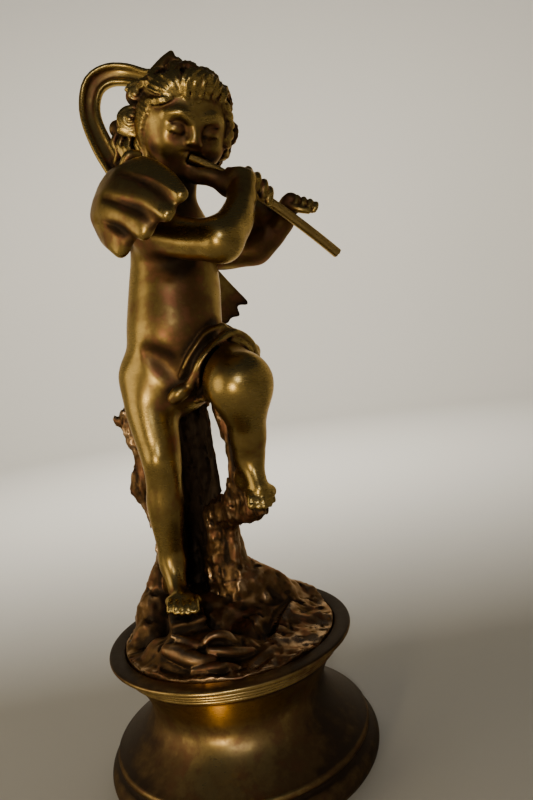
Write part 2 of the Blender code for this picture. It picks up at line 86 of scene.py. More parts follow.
# The flute: its radius at the open end, the share left at the mouth, how far it stays inside the CAD's rod
FLUTE_RADIUS = 1.55
FLUTE_TAPER = 0.88
FLUTE_INSET = 0.04

# The head and its hair
SKULL_RADIUS = 13.0
HAIR_DEPTH = 0.5
HEAD_TURN = radians(20)
HEAD_BOW = radians(36)
HEAD_LEAN = radians(8)
FACE_RISE = radians(10)
HAIRLINE_DIP = radians(10)

# The sculptor's grid, how far its distances reach, and how many triangles the casting's skin keeps
GRID = 0.42
FAR = 12.0
REACH = 4.5
CASTING_TRIANGLES = 190000

# How fast a part's mask fades away from it, per mm, and how deep a turned groove counts as a full hollow
MASK_FADE = 3
FULL_GROOVE = 0.35


def at(x, y, z):
    """A point of the pose in mm: x to the figure's left, y to its back, z above the seat."""
    return np.array([x, y, SEAT_LEVEL + z], float)


# Joints of the pose
PELVIS = at(-6.0, 0.0, 81.0)
BELLY = at(-4.0, -1.0, 91.0)
RIBS = at(-1.6, -1.0, 103.0)
CHEST = at(-0.2, 0.0, 117.0)
NECK = at(2.6, -1.0, 130.5)
HEAD = at(7.8, -4.0, 149.0)
RIGHT_SHOULDER = at(-4.0, -12.5, 119.5)
RIGHT_ELBOW = at(13.0, -28.0, 111.9)
RIGHT_WRIST = at(20.6, -15.0, 124.8)
LEFT_SHOULDER = at(4.5, 11.0, 117.5)
LEFT_ELBOW = at(24.4, 12.0, 115.4)
LEFT_WRIST = at(33.4, 7.5, 121.5)
RIGHT_HIP = at(-12.6, -1.5, 80.0)
RIGHT_KNEE = at(-12.0, -7.0, 57.5)
RIGHT_ANKLE = at(-14.0, -0.5, 24.0)
LEFT_HIP = at(4.0, 0.0, 83.0)
LEFT_KNEE = at(12.7, -23.5, 75.5)
LEFT_ANKLE = at(12.6, -14.8, 54.8)
FLUTE_START = at(8.1, -11.0, 138.1)
FLUTE_BEND = at(26.6, -5.3, 129.1)
FLUTE_END = at(48.6, 5.0, 109.4)


def head_axes():
    """The head's left, forward and up, once turned, bowed and leant over."""
    spin = (
        Matrix.Rotation(HEAD_LEAN, 3, "Y")
        @ Matrix.Rotation(HEAD_TURN, 3, "Z")
        @ Matrix.Rotation(HEAD_BOW, 3, "X")
    )
    return [np.array(spin @ Vector(axis)) for axis in ((1, 0, 0), (0, -1, 0), (0, 0, 1))]


HEAD_LEFT, HEAD_FRONT, HEAD_UP = head_axes()
HAIR_FRONT = HEAD_FRONT * cos(HAIRLINE_DIP) - HEAD_UP * sin(HAIRLINE_DIP)
HAIR_CROWN = HEAD_UP * cos(HAIRLINE_DIP) + HEAD_FRONT * sin(HAIRLINE_DIP)


def face(left, front, up):
    """A point of the face, in mm from the skull's middle. The face looks out a little above the bow."""
    ahead = HEAD_FRONT * cos(FACE_RISE) + HEAD_UP * sin(FACE_RISE)
    above = HEAD_UP * cos(FACE_RISE) - HEAD_FRONT * sin(FACE_RISE)
    return HEAD + HEAD_LEFT * left + ahead * front + above * up


def flute_point(share):
    """A point of the flute's centre line, a shallow bend from the mouth to the open end."""
    first = FLUTE_START + (FLUTE_BEND - FLUTE_START) * share
    last = FLUTE_BEND + (FLUTE_END - FLUTE_BEND) * share
    return first + (last - first) * share


def unit(vector):
    """The same direction, with a length of 1."""
    return vector / max(np.linalg.norm(vector), 1e-9)


def curved(points, values, pieces):
    """The same path and values with a smooth curve between the points, pieces to each span."""
    table = np.column_stack([np.array(points, float), np.array(values, float)])
    ends = np.vstack([2 * table[0] - table[1], table, 2 * table[-1] - table[-2]])
    rows = []
    for i in range(1, len(ends) - 2):
        before, near, far, after = ends[i - 1:i + 3]
        for piece in range(pieces):
            t = piece / pieces
            bend = (2 * before - 5 * near + 4 * far - after) * t
            bend = bend + (3 * near - before - 3 * far + after) * t * t
            rows.append(near + 0.5 * t * ((far - before) + bend))
    rows.append(table[-1])
    rows = np.array(rows)
    return rows[:, :3], rows[:, 3] if table.shape[1] == 4 else rows[:, 3:]


def soft_min(first, second, blend):
    """The smaller of two distances, with the corner between them rounded over blend."""
    low = np.minimum(first, second)
    if blend > 0:
        near = np.maximum(blend - np.abs(first - second), 0) / blend
        low = low - near * near * (blend / 4)
    return low


def dot(offset, way):
    """How far each cell's offset goes along way."""
    return offset[0] * way[0] + offset[1] * way[1] + offset[2] * way[2]


def offsets(axes, place):
    """Each cell's X, Y and Z, counted from a place."""
    return [axis - start for axis, start in zip(axes, place)]


def stretch(axes, start, way):
    """How far along a straight stretch each cell lies, from 0 to 1, and its offset from there."""
    offset = offsets(axes, start)
    share = np.clip(dot(offset, way) / max(way @ way, 1e-9), 0, 1)
    return share, [o - share * w for o, w in zip(offset, way)]


def nearer(first, second):
    """The smaller of two distances. The first may still be missing."""
    return second if first is None else np.minimum(first, second)


LATTICE = np.random.default_rng(7).uniform(-1, 1, (64, 64, 64)).astype(np.float32)


def grain(axes, sizes, shift):
    """Smooth random values between -1 and 1 on a grid, whose lumps have these sizes along X, Y and Z."""
    values = np.roll(LATTICE, (shift * 7, shift * 13, shift * 29), (0, 1, 2))
    for direction, (axis, size) in enumerate(zip(axes, sizes)):
        place = axis.ravel() / size
        cell = np.floor(place).astype(int)
        share = (place - cell).astype(np.float32)
        share = share * share * (3 - 2 * share)
        share = share.reshape([-1 if d == direction else 1 for d in range(3)])
        low = np.take(values, cell % 64, axis=direction)
        high = np.take(values, (cell + 1) % 64, axis=direction)
        values = low + (high - low) * share
    return values


class Clay:
    """Modelling clay: a cubic grid whose cells hold the distance to its surface, below 0 inside."""

    def __init__(self, low, high):
        self.first = np.floor(np.array(low) / GRID).astype(int)
        self.count = np.ceil(np.array(high) / GRID).astype(int) - self.first + 1
        self.depth = np.full(self.count, FAR, np.float32)

    def window(self, low, high):
        """The cells between two corners, and their X, Y and Z."""
        start = np.clip(np.floor(np.array(low) / GRID).astype(int) - self.first, 0, self.count)
        stop = np.clip(np.ceil(np.array(high) / GRID).astype(int) - self.first + 1, start, self.count)
        cells = tuple(slice(a, b) for a, b in zip(start, stop))
        axes = [(np.arange(a, b) + f).astype(np.float32) * GRID for a, b, f in zip(start, stop, self.first)]
        return cells, np.meshgrid(*axes, indexing="ij", sparse=True)

    def around(self, points, radius):
        """The cells near some points, and their X, Y and Z."""
        points = np.array(points)
        return self.window(points.min(0) - radius - REACH, points.max(0) + radius + REACH)

    def everywhere(self):
        """The X, Y and Z of all cells."""
        return self.window(self.first * GRID, (self.first + self.count - 1) * GRID)[1]

    def press(self, cells, distance, blend=0.0, cut=False):
        """Adds a shape to the clay, or cuts it out."""
        if cut:
            self.depth[cells] = -soft_min(-self.depth[cells], distance, blend)
        else:
            self.depth[cells] = soft_min(self.depth[cells], distance, blend)

    def ball(self, centre, radius, blend=0.0, sizes=(1, 1, 1), axes=np.eye(3), cut=False):
        """A ball, or an egg whose half-lengths along its own axes are radius times sizes."""
        cells, places = self.around([centre], radius * max(sizes))
        offset = offsets(places, centre)
        total = 0
        for size, axis in zip(sizes, axes):
            total = total + (dot(offset, axis) / size) ** 2
        self.press(cells, (np.sqrt(total) - radius) * min(sizes), blend, cut)

    def limb(self, points, radii, blend=0.0, bends=0, cut=False):
        """A round limb through the points. bends above 1 rounds the path between them."""
        points, radii = np.array(points, float), np.array(radii, float)
        if bends > 1:
            points, radii = curved(points, radii, bends)
        cells, axes = self.around(points, radii.max())
        nearest = None
        for start, end, near, far in zip(points, points[1:], radii, radii[1:]):
            share, rest = stretch(axes, start, end - start)
            gap = np.sqrt(dot(rest, rest)) - (near + (far - near) * share)
            nearest = nearer(nearest, gap)
        self.press(cells, nearest, blend, cut)

    def lock(self, points, radii, strands=5, groove=0.2, twist=0.0, blend=0.3, flat=1.0, away=None):
        """A lock of hair or a bark ridge: a limb with lengthwise grooves, flattened towards away."""
        points, radii = curved(points, radii, 3)
        cells, axes = self.around(points, radii.max())
        side = unit(np.cross(points[1] - points[0], away if away is not None else (0.3, 0.5, 0.8)))
        nearest = None
        for i, (start, end, near, far) in enumerate(zip(points, points[1:], radii, radii[1:])):
            way = end - start
            length = max(np.linalg.norm(way), 1e-6)
            side = unit(side - way * (side @ way) / length**2)
            front = np.cross(way, side) / length
            share, rest = stretch(axes, start, way)
            across, deep, ends = dot(rest, side), dot(rest, front) / flat, dot(rest, way) / length
            reach = near + (far - near) * share
            ridges = 1 + groove * np.cos(strands * np.arctan2(deep, across) + twist * (i + share))
            gap = (np.sqrt(across**2 + deep**2 + ends**2) - reach * ridges) * min(1.0, flat)
            nearest = nearer(nearest, gap)
        self.press(cells, nearest, blend)

    def blade(self, points, widths, thickness, hub, blend, bends=3):
        """A feather or band: flat, facing away from the hub, rounded at its edges."""
        points, widths = curved(points, widths, bends)
        cells, axes = self.around(points, np.max(widths) / 2)
        nearest = None
        for start, end, near, far in zip(points, points[1:], widths, widths[1:]):
            way = end - start
            length = max(np.linalg.norm(way), 1e-6)
            across = unit(np.cross(way, start - hub))
            front = np.cross(across, way) / length
            share, rest = stretch(axes, start, way)
            beside, deep, ends = np.abs(dot(rest, across)), dot(rest, front), dot(rest, way) / length
            flat = np.maximum((near + (far - near) * share - thickness) / 2, 0)
            gap = np.sqrt(np.maximum(beside - flat, 0) ** 2 + deep**2 + ends**2) - thickness / 2
            nearest = nearer(nearest, gap)
        self.press(cells, nearest, blend)

    def soften(self, reach):
        """Rubs the clay smooth over this reach."""
        for _ in range(max(1, round(2 * (reach / GRID) ** 2))):
            for axis in range(3):
                beside = np.roll(self.depth, 1, axis) + np.roll(self.depth, -1, axis)
                self.depth = (beside + 2 * self.depth) / 4

    def overlap(self, other):
        """The cells that two blocks of clay share, counted in this one and in the other."""
        start = np.maximum(other.first, self.first)
        stop = np.minimum(other.first + other.count, self.first + self.count)
        cells = []
        for clay in (self, other):
            cells.append(tuple(slice(a - f, b - f) for a, b, f in zip(start, stop, clay.first)))
        return cells

    def join(self, other, blend):
        """Presses another block of clay onto this one."""
        mine, theirs = self.overlap(other)
        self.depth[mine] = soft_min(self.depth[mine], other.depth[theirs], blend)

    def groove(self, points, radii, wall):
        """Cuts a round channel through the points, flat across just before the first of them."""
        margin = np.max(radii) + 2 * GRID
        bore = Clay(np.min(points, 0) - margin, np.max(points, 0) + margin)
        bore.limb(points, radii)
        ahead = dot(offsets(bore.everywhere(), points[0]), unit(points[0] - points[1])) - wall
        bore.depth = -np.maximum(bore.depth, ahead)
        mine, theirs = self.overlap(bore)
        self.depth[mine] = np.maximum(self.depth[mine], bore.depth[theirs])

    def probe(self, points):
        """The distance at each point, read between the cells. Points outside the block are far away."""
        place = points / GRID - self.first
        cell = np.floor(place).astype(int)
        inside = ((cell >= 0) & (cell < self.count - 1)).all(1)
        cell = np.clip(cell, 0, self.count - 2)
        share = np.clip(place - cell, 0, 1)
        value = 0
        for corner in range(8):
            step = np.array([corner & 1, corner >> 1 & 1, corner >> 2 & 1])
            weight = np.prod(np.where(step, share, 1 - share), axis=1)
            value = value + weight * self.depth[tuple((cell + step).T)]
        return np.where(inside, value, FAR)

    def slope(self, points, reach):
        """The outward direction at each point."""
        rise = [self.probe(points + step * reach) - self.probe(points - step * reach) for step in np.eye(3)]
        rise = np.stack(rise, 1)
        return rise / np.maximum(np.linalg.norm(rise, axis=1, keepdims=True), 1e-9)

    def top(self, x, y):
        """The height of the ground's surface over a point, under any branch."""
        i, j = (np.round(np.array([x, y]) / GRID).astype(int) - self.first[:2]).clip(0, self.count[:2] - 1)
        ceiling = int((SEAT_LEVEL + GROUND_CEILING) / GRID) - self.first[2]
        column = np.nonzero(self.depth[i, j, :ceiling] < 0)[0]
        return (self.first[2] + column[-1]) * GRID if len(column) else SEAT_LEVEL


# The child

def sculpt_torso(clay):
    clay.limb([PELVIS, BELLY, RIBS, CHEST], (12.0, 13.2, 13.3, 11.6), bends=5)
    clay.limb([RIGHT_SHOULDER, CHEST + (0.4, -0.3, 1.5), LEFT_SHOULDER], (6.2, 9.4, 6.0), blend=5, bends=4)
    clay.ball(BELLY + (1.6, -3.0, 1.0), 11.0, blend=5)
    clay.limb([CHEST + (0.5, -0.5, 4), NECK, face(0, -2, -6)], (8.2, 6.0, 6.6), blend=4, bends=4)
    clay.limb([PELVIS, RIGHT_HIP], (11.6, 7.4), blend=4)
    clay.limb([PELVIS, LEFT_HIP], (12.2, 9.2), blend=4)
    clay.ball(at(-10.5, 6.2, 78.6), 8.4, blend=2.5)
    clay.ball(at(1.0, 7.6, 80.0), 8.4, blend=2.5)
    spine = [at(-11.6, 9.0, 118), at(-11.4, 8.8, 104), at(-12.2, 9.6, 92)]
    clay.limb(spine, (0.7, 0.9, 0.6), blend=2.5, cut=True)
    parting = [at(-4.6, 16.0, 84), at(-4.9, 15.5, 76), at(-4.8, 12, 71)]
    clay.limb(parting, (0.8, 1.1, 0.9), blend=1.6, cut=True)
    crease = [at(-10.4, -13.0, 87.2), at(-7.0, -14.0, 83.8), at(-4.6, -13.8, 79.8)]
    clay.limb(crease, (1.2, 2.5, 1.6), blend=3.5, bends=4, cut=True)


def sculpt_legs(clay):
    leg = [RIGHT_HIP, at(-13.0, -4.2, 71.0), RIGHT_KNEE, at(-12.5, -5.6, 49.5), at(-13.2, -4.4, 43.0)]
    leg += [at(-13.7, -2.4, 33.5), RIGHT_ANKLE]
    clay.limb(leg, (8.2, 7.4, 5.8, 5.2, 5.4, 4.4, 3.4), blend=3, bends=6)
    clay.ball(RIGHT_KNEE + (-0.3, -2.6, -0.4), 3.2, blend=3)
    clay.ball(at(-13.0, -1.6, 44.5), 4.3, blend=3)
    clay.limb([LEFT_HIP, LEFT_KNEE + (-1.5, 5, 1.5), LEFT_KNEE], (9.2, 8.6, 8.4), blend=3, bends=4)
    calf = [LEFT_KNEE + (0.2, 1.2, -5.0), at(13.0, -19.8, 65.5), at(13.0, -17.4, 60.0), LEFT_ANKLE]
    clay.limb([LEFT_KNEE, *calf], (8.2, 6.8, 5.5, 5.0, 3.5), blend=2.5, bends=6)


def sculpt_foot(clay, ankle, heel, instep, ball):
    """A foot without its toes: ankle to heel, over the instep to the ball, and the sole between."""
    clay.limb([ankle + (0, 0.5, 2.0), ankle, heel], (3.4, 3.3, 2.9), blend=2.5, bends=4)
    clay.limb([ankle + (0, 0, 2.0), instep, ball], (3.3, 2.9, 2.3), blend=2.5, bends=4)
    clay.limb([heel, ball + (0, 0, -0.6)], (2.9, 2.3), blend=2)


def sculpt_feet(clay):
    sculpt_foot(clay, RIGHT_ANKLE, at(-15.2, 3.2, 16.6), at(-13.2, -6.0, 18.6), at(-11.4, -10.8, 16.6))
    sculpt_foot(clay, LEFT_ANKLE, at(10.9, -11.8, 48.2), at(13.5, -18.0, 50.2), at(14.1, -20.0, 46.6))


def sculpt_toe_row(clay, roots, tips, sizes):
    """Five toes side by side, bent down over the edge, each with its nail."""
    clay.limb([roots[0] + (0, 1.0, -0.5), roots[-1] + (0, 1.0, -0.5)], (1.6, 1.8), blend=1.8)
    for root, tip, size in zip(roots, tips, sizes):
        joint = (root + tip) / 2 + (0, -0.2, 0.45)
        toe = [root + (0, 1.6, -0.3), root, joint, tip]
        clay.limb(toe, (size, size, size, size * 1.02), blend=0.3, bends=3)
        clay.ball(tip + (0, -size * 0.75, size * 0.8), size * 0.4, blend=0.3, cut=True)


def sculpt_toes(clay):
    roots = [
        at(-15.1, -12.2, 17.2), at(-13.4, -12.8, 17.0), at(-11.7, -13.0, 16.8), at(-10.0, -12.9, 16.6),
        at(-8.2, -12.4, 16.4),
    ]
    tips = [
        at(-15.4, -14.7, 15.4), at(-13.6, -15.3, 15.0), at(-11.8, -15.6, 14.7), at(-10.1, -15.6, 14.5),
        at(-8.2, -15.3, 14.6),
    ]
    sculpt_toe_row(clay, roots, tips, (0.86, 0.88, 0.9, 0.92, 1.2))
    roots = [
        at(11.6, -20.0, 46.0), at(13.2, -20.6, 45.9), at(14.5, -20.6, 45.8), at(15.8, -20.1, 45.8),
        at(16.8, -19.3, 45.8),
    ]
    tips = [
        at(11.3, -22.5, 43.2), at(13.1, -23.0, 42.6), at(14.6, -23.0, 42.5), at(16.0, -22.4, 42.7),
        at(17.2, -21.4, 43.4),
    ]
    sculpt_toe_row(clay, roots, tips, (1.25, 0.86, 0.84, 0.82, 0.76))


def sculpt_arms(clay):
    clay.limb([RIGHT_SHOULDER, at(4.6, -21.4, 114.6), RIGHT_ELBOW], (6.0, 5.4, 5.3), blend=3, bends=5)
    clay.limb([RIGHT_ELBOW, at(17.6, -22.0, 117.6), RIGHT_WRIST], (5.3, 4.8, 3.6), blend=2.5, bends=5)
    clay.limb([LEFT_SHOULDER, at(14.5, 12.4, 115.2), LEFT_ELBOW], (5.8, 5.4, 5.0), blend=3, bends=5)
    clay.limb([LEFT_ELBOW, at(29.6, 10.2, 118.6), LEFT_WRIST], (5.0, 4.7, 3.4), blend=2.5, bends=5)
    web = [at(24.0, 11.0, 121.5), at(25.4, 9.4, 127.0), at(28.4, 8.6, 123.6), LEFT_ELBOW + (3, 0, 4)]
    clay.limb(web, (3.2, 3.2, 3.2, 3.2), blend=1.5)


def sculpt_fingers(clay, knuckles, sizes, path):
    """Four fingers side by side. path gives the places along each of them, counted from its knuckle."""
    for knuckle, size in zip(knuckles, sizes):
        finger = [knuckle + place for place in path]
        clay.limb(finger, [size * share for share in (1.12, 1.0, 0.94, 0.8)], blend=0.2, bends=3)


def sculpt_hands(clay):
    """Both hands laid over the flute, the fingers side by side and bent down onto it."""
    back = at(21.8, -12.2, 129.6)
    clay.limb([RIGHT_WRIST, at(21.2, -13.6, 127.4), back], (3.5, 3.6, 3.2), blend=2.0, bends=4)
    clay.ball(at(17.6, -11.2, 128.9), 2.7, blend=2.4)
    heel = [at(17.4, -10.8, 129.8), at(13.2, -10.0, 132.4), at(9.6, -8.6, 133.8)]
    clay.limb(heel, (2.7, 2.5, 2.6), blend=2.0, bends=3)
    clay.limb([back, at(23.6, -9.8, 130.6), at(26.4, -9.0, 128.4)], (3.0, 2.4, 1.8), blend=1.5)
    clay.limb([back, flute_point(0.40) + (0, -0.6, 0.4)], (3.0, 2.0), blend=1.4)
    knuckles = [at(23.6, -10.6, 133.2), at(25.9, -9.8, 131.7), at(27.7, -8.9, 129.9), at(29.1, -8.2, 128.0)]
    bent = ((-0.9, -0.9, -4.0), (-0.1, -0.9, -1.6), (0.2, 1.8, -0.1), (0.4, 4.2, -2.6))
    sculpt_fingers(clay, knuckles, (1.35, 1.25, 1.2, 1.1), bent)
    thumb = [back + (-1.4, -0.4, 1.4), at(18.9, -10.6, 132.2), flute_point(0.27) + (0, -1.9, 0.9)]
    clay.limb(thumb, (2.6, 2.0, 1.3), blend=0.9, bends=4)
    palm = at(35.6, 6.4, 125.4)
    clay.limb([LEFT_WRIST, palm, at(36.4, 5.2, 126.6)], (3.3, 3.1, 2.6), blend=2, bends=3)
    clay.limb([at(36.6, 5.2, 125.8), at(42.6, 4.2, 123.6)], (2.4, 1.5), blend=1.2)
    knuckles = [at(38.2, 3.4, 126.9), at(40.1, 3.0, 126.1), at(41.9, 2.6, 125.2), at(43.5, 2.6, 124.3)]
    curled = ((-0.4, 2.2, -0.6), (0, 0, 0), (-0.4, -0.8, -1.2), (-0.9, -0.8, -2.0))
    sculpt_fingers(clay, knuckles, (1.08, 1.02, 0.98, 0.9), curled)
    thumb = [palm + (-0.8, -2.0, 0.2), at(38.0, 2.0, 123.4), at(40.8, 1.6, 122.4)]
    clay.limb(thumb, (1.7, 1.15, 0.95), blend=0.5, bends=4)


def sculpt_head(clay):
    """A calm child's head on plain proportions, three equal steps from hairline to brow, nose and chin."""
    axes = (HEAD_LEFT, HEAD_FRONT, HEAD_UP)
    clay.ball(HEAD, SKULL_RADIUS, blend=2.5, sizes=(0.97, 0.97, 1.0), axes=axes)
    clay.ball(face(0, 1.2, -3.6), 9.8, blend=3, sizes=(0.98, 1, 1), axes=axes)
    clay.limb([face(0, 3.0, -7.0), face(0, 8.0, -9.4)], (7.6, 2.9), blend=3.5)
    for side in (-1, 1):
        clay.ball(face(side * 4.9, 5.9, -4.2), 4.5, blend=3)
        clay.ball(face(side * 4.5, 13.6, 0.0), 2.8, blend=2.2, cut=True)
        clay.ball(face(side * 4.4, 9.3, -0.1), 2.6, blend=0.5, sizes=(1.15, 1, 0.9), axes=axes)
        lid = [face(side * 2.1, 11.0, -0.8), face(side * 4.3, 11.9, -1.4), face(side * 6.6, 10.1, -0.8)]
        clay.limb(lid, (0.2, 0.34, 0.2), blend=0.25, bends=4, cut=True)
        fold = [face(side * 2.2, 11.3, 1.4), face(side * 4.4, 11.6, 2.1), face(side * 6.8, 9.9, 1.3)]
        clay.limb(fold, (0.2, 0.28, 0.2), blend=0.4, bends=4, cut=True)
        brow = [face(side * 1.6, 11.7, 3.0), face(side * 4.4, 11.2, 4.2), face(side * 7.6, 9.1, 3.4)]
        clay.limb(brow, (0.8, 0.8, 0.6), blend=1.8, bends=4)
        clay.ball(face(side * 1.35, 12.3, -2.7), 0.95, blend=0.6)
        clay.ball(face(side * 0.75, 13.0, -3.6), 0.4, blend=0.3, cut=True)
    nose = [face(0, 11.2, 2.4), face(0, 12.0, 0.0), face(0, 12.9, -2.2)]
    clay.limb(nose, (1.2, 1.3, 1.45), blend=1.2, bends=4)
    upper_lip = [face(-2.3, 10.9, -4.5), face(0, 11.8, -4.1), face(2.3, 10.9, -4.5)]
    clay.limb(upper_lip, (0.5, 0.95, 0.5), blend=0.8, bends=4)
    lower_lip = [face(-1.8, 10.6, -6.1), face(0, 11.3, -6.4), face(1.8, 10.6, -6.1)]
    clay.limb(lower_lip, (0.5, 1.0, 0.5), blend=0.8, bends=4)
    mouth = [face(-2.6, 11.2, -5.2), face(0, 12.6, -5.2), face(2.6, 11.2, -5.2)]
    clay.limb(mouth, (0.2, 0.3, 0.2), blend=0.35, bends=4, cut=True)


# The hair

def on_skull(swing, lift, height):
    """A point above the skull: swing round from the brow to the left, lift above the ears, in degrees."""
    swing, lift = radians(swing), radians(lift)
    way = HEAD_LEFT * sin(swing) * cos(lift) + HEAD_FRONT * cos(swing) * cos(lift) + HEAD_UP * sin(lift)
    return HEAD + way * (SKULL_RADIUS + height)


def from_brow(around, back, height):
    """A point above the skull: back degrees from the face's middle, around it from the crown to the left."""
    around, back = radians(around), radians(back)
    way = HAIR_FRONT * cos(back) + (HAIR_CROWN * cos(around) + HEAD_LEFT * sin(around)) * sin(back)
    return HEAD + way * (SKULL_RADIUS + height)


# Locks seen at the front: swing and lift at four places, how far the lock stands up, its thickness
FRONT_LOCKS = (
    ((-43, 41), (-60, 41), (-80, 39), (-98, 33), 0.7, 1.25),
    ((-42, 46), (-57, 46), (-74, 45), (-94, 40), 1.1, 1.35),
    ((-44, 38), (-52, 33), (-62, 29), (-76, 26), 0.4, 1.1),
    ((-37, 48), (-53, 52), (-74, 52), (-92, 48), 1.5, 1.35),
    ((-32, 50), (-45, 57), (-64, 60), (-82, 56), 1.6, 1.35),
    ((-28, 52), (-38, 60), (-54, 66), (-70, 66), 1.7, 1.25),
    ((-21, 49), (-25, 60), (-14, 71), (24, 78), 2.5, 1.45),
    ((-7, 53), (-9, 62), (8, 71), (40, 74), 2.8, 1.5),
    ((8, 54), (9, 62), (26, 69), (56, 71), 2.6, 1.45),
    ((23, 54), (27, 60), (44, 66), (72, 68), 2.3, 1.4),
    ((38, 51), (44, 56), (60, 60), (86, 61), 1.9, 1.3),
    ((52, 45), (60, 48), (76, 51), (98, 52), 1.4, 1.2),
)

# The bun, the rose-like curl under it and the fall of hair: the plain locks keep clear of them
BUN_MIDDLE = at(-4.2, -2.0, 159.6)
ROSE_MIDDLE = at(-6.2, -3.8, 152.0)
CURL_MIDDLES = (BUN_MIDDLE, ROSE_MIDDLE, at(-6.0, -2.0, 144.0))


def sculpt_hair(clay):
    """Wavy locks combed back from the hairline, parted over the brow, and curls at the sides."""
    chance = np.random.default_rng(3)
    clay.ball(HEAD, SKULL_RADIUS + HAIR_DEPTH)
    axes = clay.everywhere()
    place = offsets(axes, HEAD)
    ahead = dot(place, HAIR_FRONT) - 4.6
    clay.depth = -soft_min(-clay.depth, -ahead, 1.2)
    for *places, stand, size in FRONT_LOCKS:
        rises = [0.1 + stand * rise for rise in (0, 0.75, 1, 0.6)]
        points = [on_skull(swing, lift, rise) for (swing, lift), rise in zip(places, rises)]
        clay.lock(points, (size * 0.6, size, size, size * 0.7), strands=5, groove=0.22,
                  twist=chance.uniform(-0.3, 0.3), blend=0.15, flat=0.85, away=points[1] - HEAD)
    rows = ((17, 64, 34, 84, 170), (25, 90, 36, 0, 180), (21, 118, 34, 0, 180), (12, 146, 30, 0, 180))
    for row, (locks, back, length, first, last) in enumerate(rows):
        for number in range(locks):
            side = 1 if number % 2 else -1
            around = side * (first + (last - first) * (number // 2 + 0.5) / (locks / 2))
            swell = chance.uniform(0.85, 1.2)
            points = []
            for step in range(5):
                share = step / 4
                narrow = max(sin(radians(back + length * share)), 0.35)
                wave = 9 * sin(4.2 * share + 2.3 * number + row) / narrow
                height = 0.2 + (1.15 + 0.3 * row) * swell * sin(pi * min(share * 1.2 + 0.1, 1))
                points.append(from_brow(around + wave, back + length * share, height))
            if min(np.linalg.norm(point - curl) for point in points[1:4] for curl in CURL_MIDDLES) < 6.5:
                continue
            radii = np.array([0.8, 1.4, 1.6, 1.35, 0.8]) * swell
            clay.lock(points, radii, strands=6, groove=0.17, twist=chance.uniform(-0.4, 0.4), blend=0.35,
                      flat=0.8, away=points[2] - HEAD)
    turn = np.arctan2(dot(place, HEAD_LEFT), dot(place, HEAD_UP))
    strands = np.sin(70 * turn + 6 * grain(axes, (5, 5, 5), 9))
    clay.depth += (0.11 * strands).astype(np.float32)
    sculpt_curls(clay)


def sculpt_curls(clay):
    """Small curls by the left temple, and over the right ear a bun, a rose-like curl and a wavy fall."""
    for number, (swing, lift) in enumerate(((62, 36), (64, 26), (64, 16), (60, 6), (54, -4))):
        centre = on_skull(swing, lift, 0.3)
        facing = unit(unit(centre - HEAD) + (0.2, -0.6, 0))
        clay.ball(centre - facing * 0.8, 1.6, blend=0.5)
        spiral_curl(clay, centre, 1.8, 1.7, 1.5, -1 if number % 2 else 1, facing, 0.5)
    clay.limb([at(-11.0, 3.4, 152.6), at(-8.0, 2.0, 151.6), HEAD], (2.6, 3.4, 6.0), blend=2)
    clay.limb([at(-12.6, 5.6, 144.0), at(-7.0, 2.0, 145.4), HEAD], (1.8, 3.0, 6.0), blend=2)
    clay.limb([at(-10.6, 4.0, 138.4), at(-4.0, 1.0, 139.4), NECK], (1.6, 3.0, 4.0), blend=2)
    clay.limb([BUN_MIDDLE + (0.6, 2.4, 0.4), at(-0.6, 0, 157.6), HEAD], (2.6, 3.2, 6.0), blend=2)
    clay.ball(BUN_MIDDLE + (0, 1.4, 0), 3.0, blend=0.8, sizes=(1, 0.6, 1))
    spiral_curl(clay, BUN_MIDDLE, 3.3, 3.1, 2.0, 1, np.array([0, -1.0, 0]), 0.9)
    wisp = [BUN_MIDDLE + (-1.6, -0.4, 2.4), BUN_MIDDLE + (1.6, -1.0, 2.7), BUN_MIDDLE + (4.6, -2.2, 1.2)]
    for shift in (0, -1.3):
        wound = [point + (0, 0, shift) for point in wisp]
        clay.lock(wound, (0.5, 0.75, 0.7), strands=4, groove=0.16, blend=0.2)
    clay.ball(ROSE_MIDDLE + (0, 2.0, 0), 4.4, blend=1.0, sizes=(1.05, 0.5, 0.95))
    spiral_curl(clay, ROSE_MIDDLE, 5.6, 5.1, 3.1, -1, np.array([0, -1.0, 0]), 1.2)
    chance = np.random.default_rng(11)
    falls = (
        (at(-11.0, 1.0, 151.0), at(-12.4, 1.6, 148.6), at(-11.7, 1.4, 145.8), at(-13.2, 2.2, 143.2)),
        (at(-9.6, -1.8, 148.6), at(-10.8, -1.4, 146.2), at(-9.7, -1.8, 143.0), at(-10.8, -1.2, 139.8)),
        (at(-7.2, -3.4, 147.6), at(-8.2, -3.2, 145.0), at(-7.0, -3.6, 141.8), at(-7.6, -2.8, 138.2)),
        (at(-4.6, -4.8, 147.6), at(-5.5, -4.6, 145.0), at(-4.4, -5.0, 141.6), at(-4.4, -4.2, 137.8)),
        (at(-2.1, -6.2, 149.4), at(-2.8, -6.0, 145.8), at(-1.8, -6.2, 142.2), at(-1.4, -5.4, 138.6)),
        (at(-0.4, -8.0, 151.2), at(-0.8, -7.8, 147.6), at(-0.2, -7.6, 144.4), at(0.6, -6.8, 141.4)),
        (at(-8.6, -2.4, 147.2), at(-9.0, -2.8, 145.2), at(-8.3, -3.2, 143.2), at(-9.0, -2.8, 141.2)),
        (at(-3.2, -5.8, 147.0), at(-3.8, -6.0, 144.8), at(-3.0, -6.0, 142.8), at(-3.1, -5.6, 140.2)),
    )
    for fall in falls:
        clay.lock(fall, (0.75, 1.1, 1.05, 0.5), strands=4, groove=0.18, twist=chance.uniform(-0.3, 0.3),
                  blend=0.3, flat=0.8, away=(0, -1, 0))


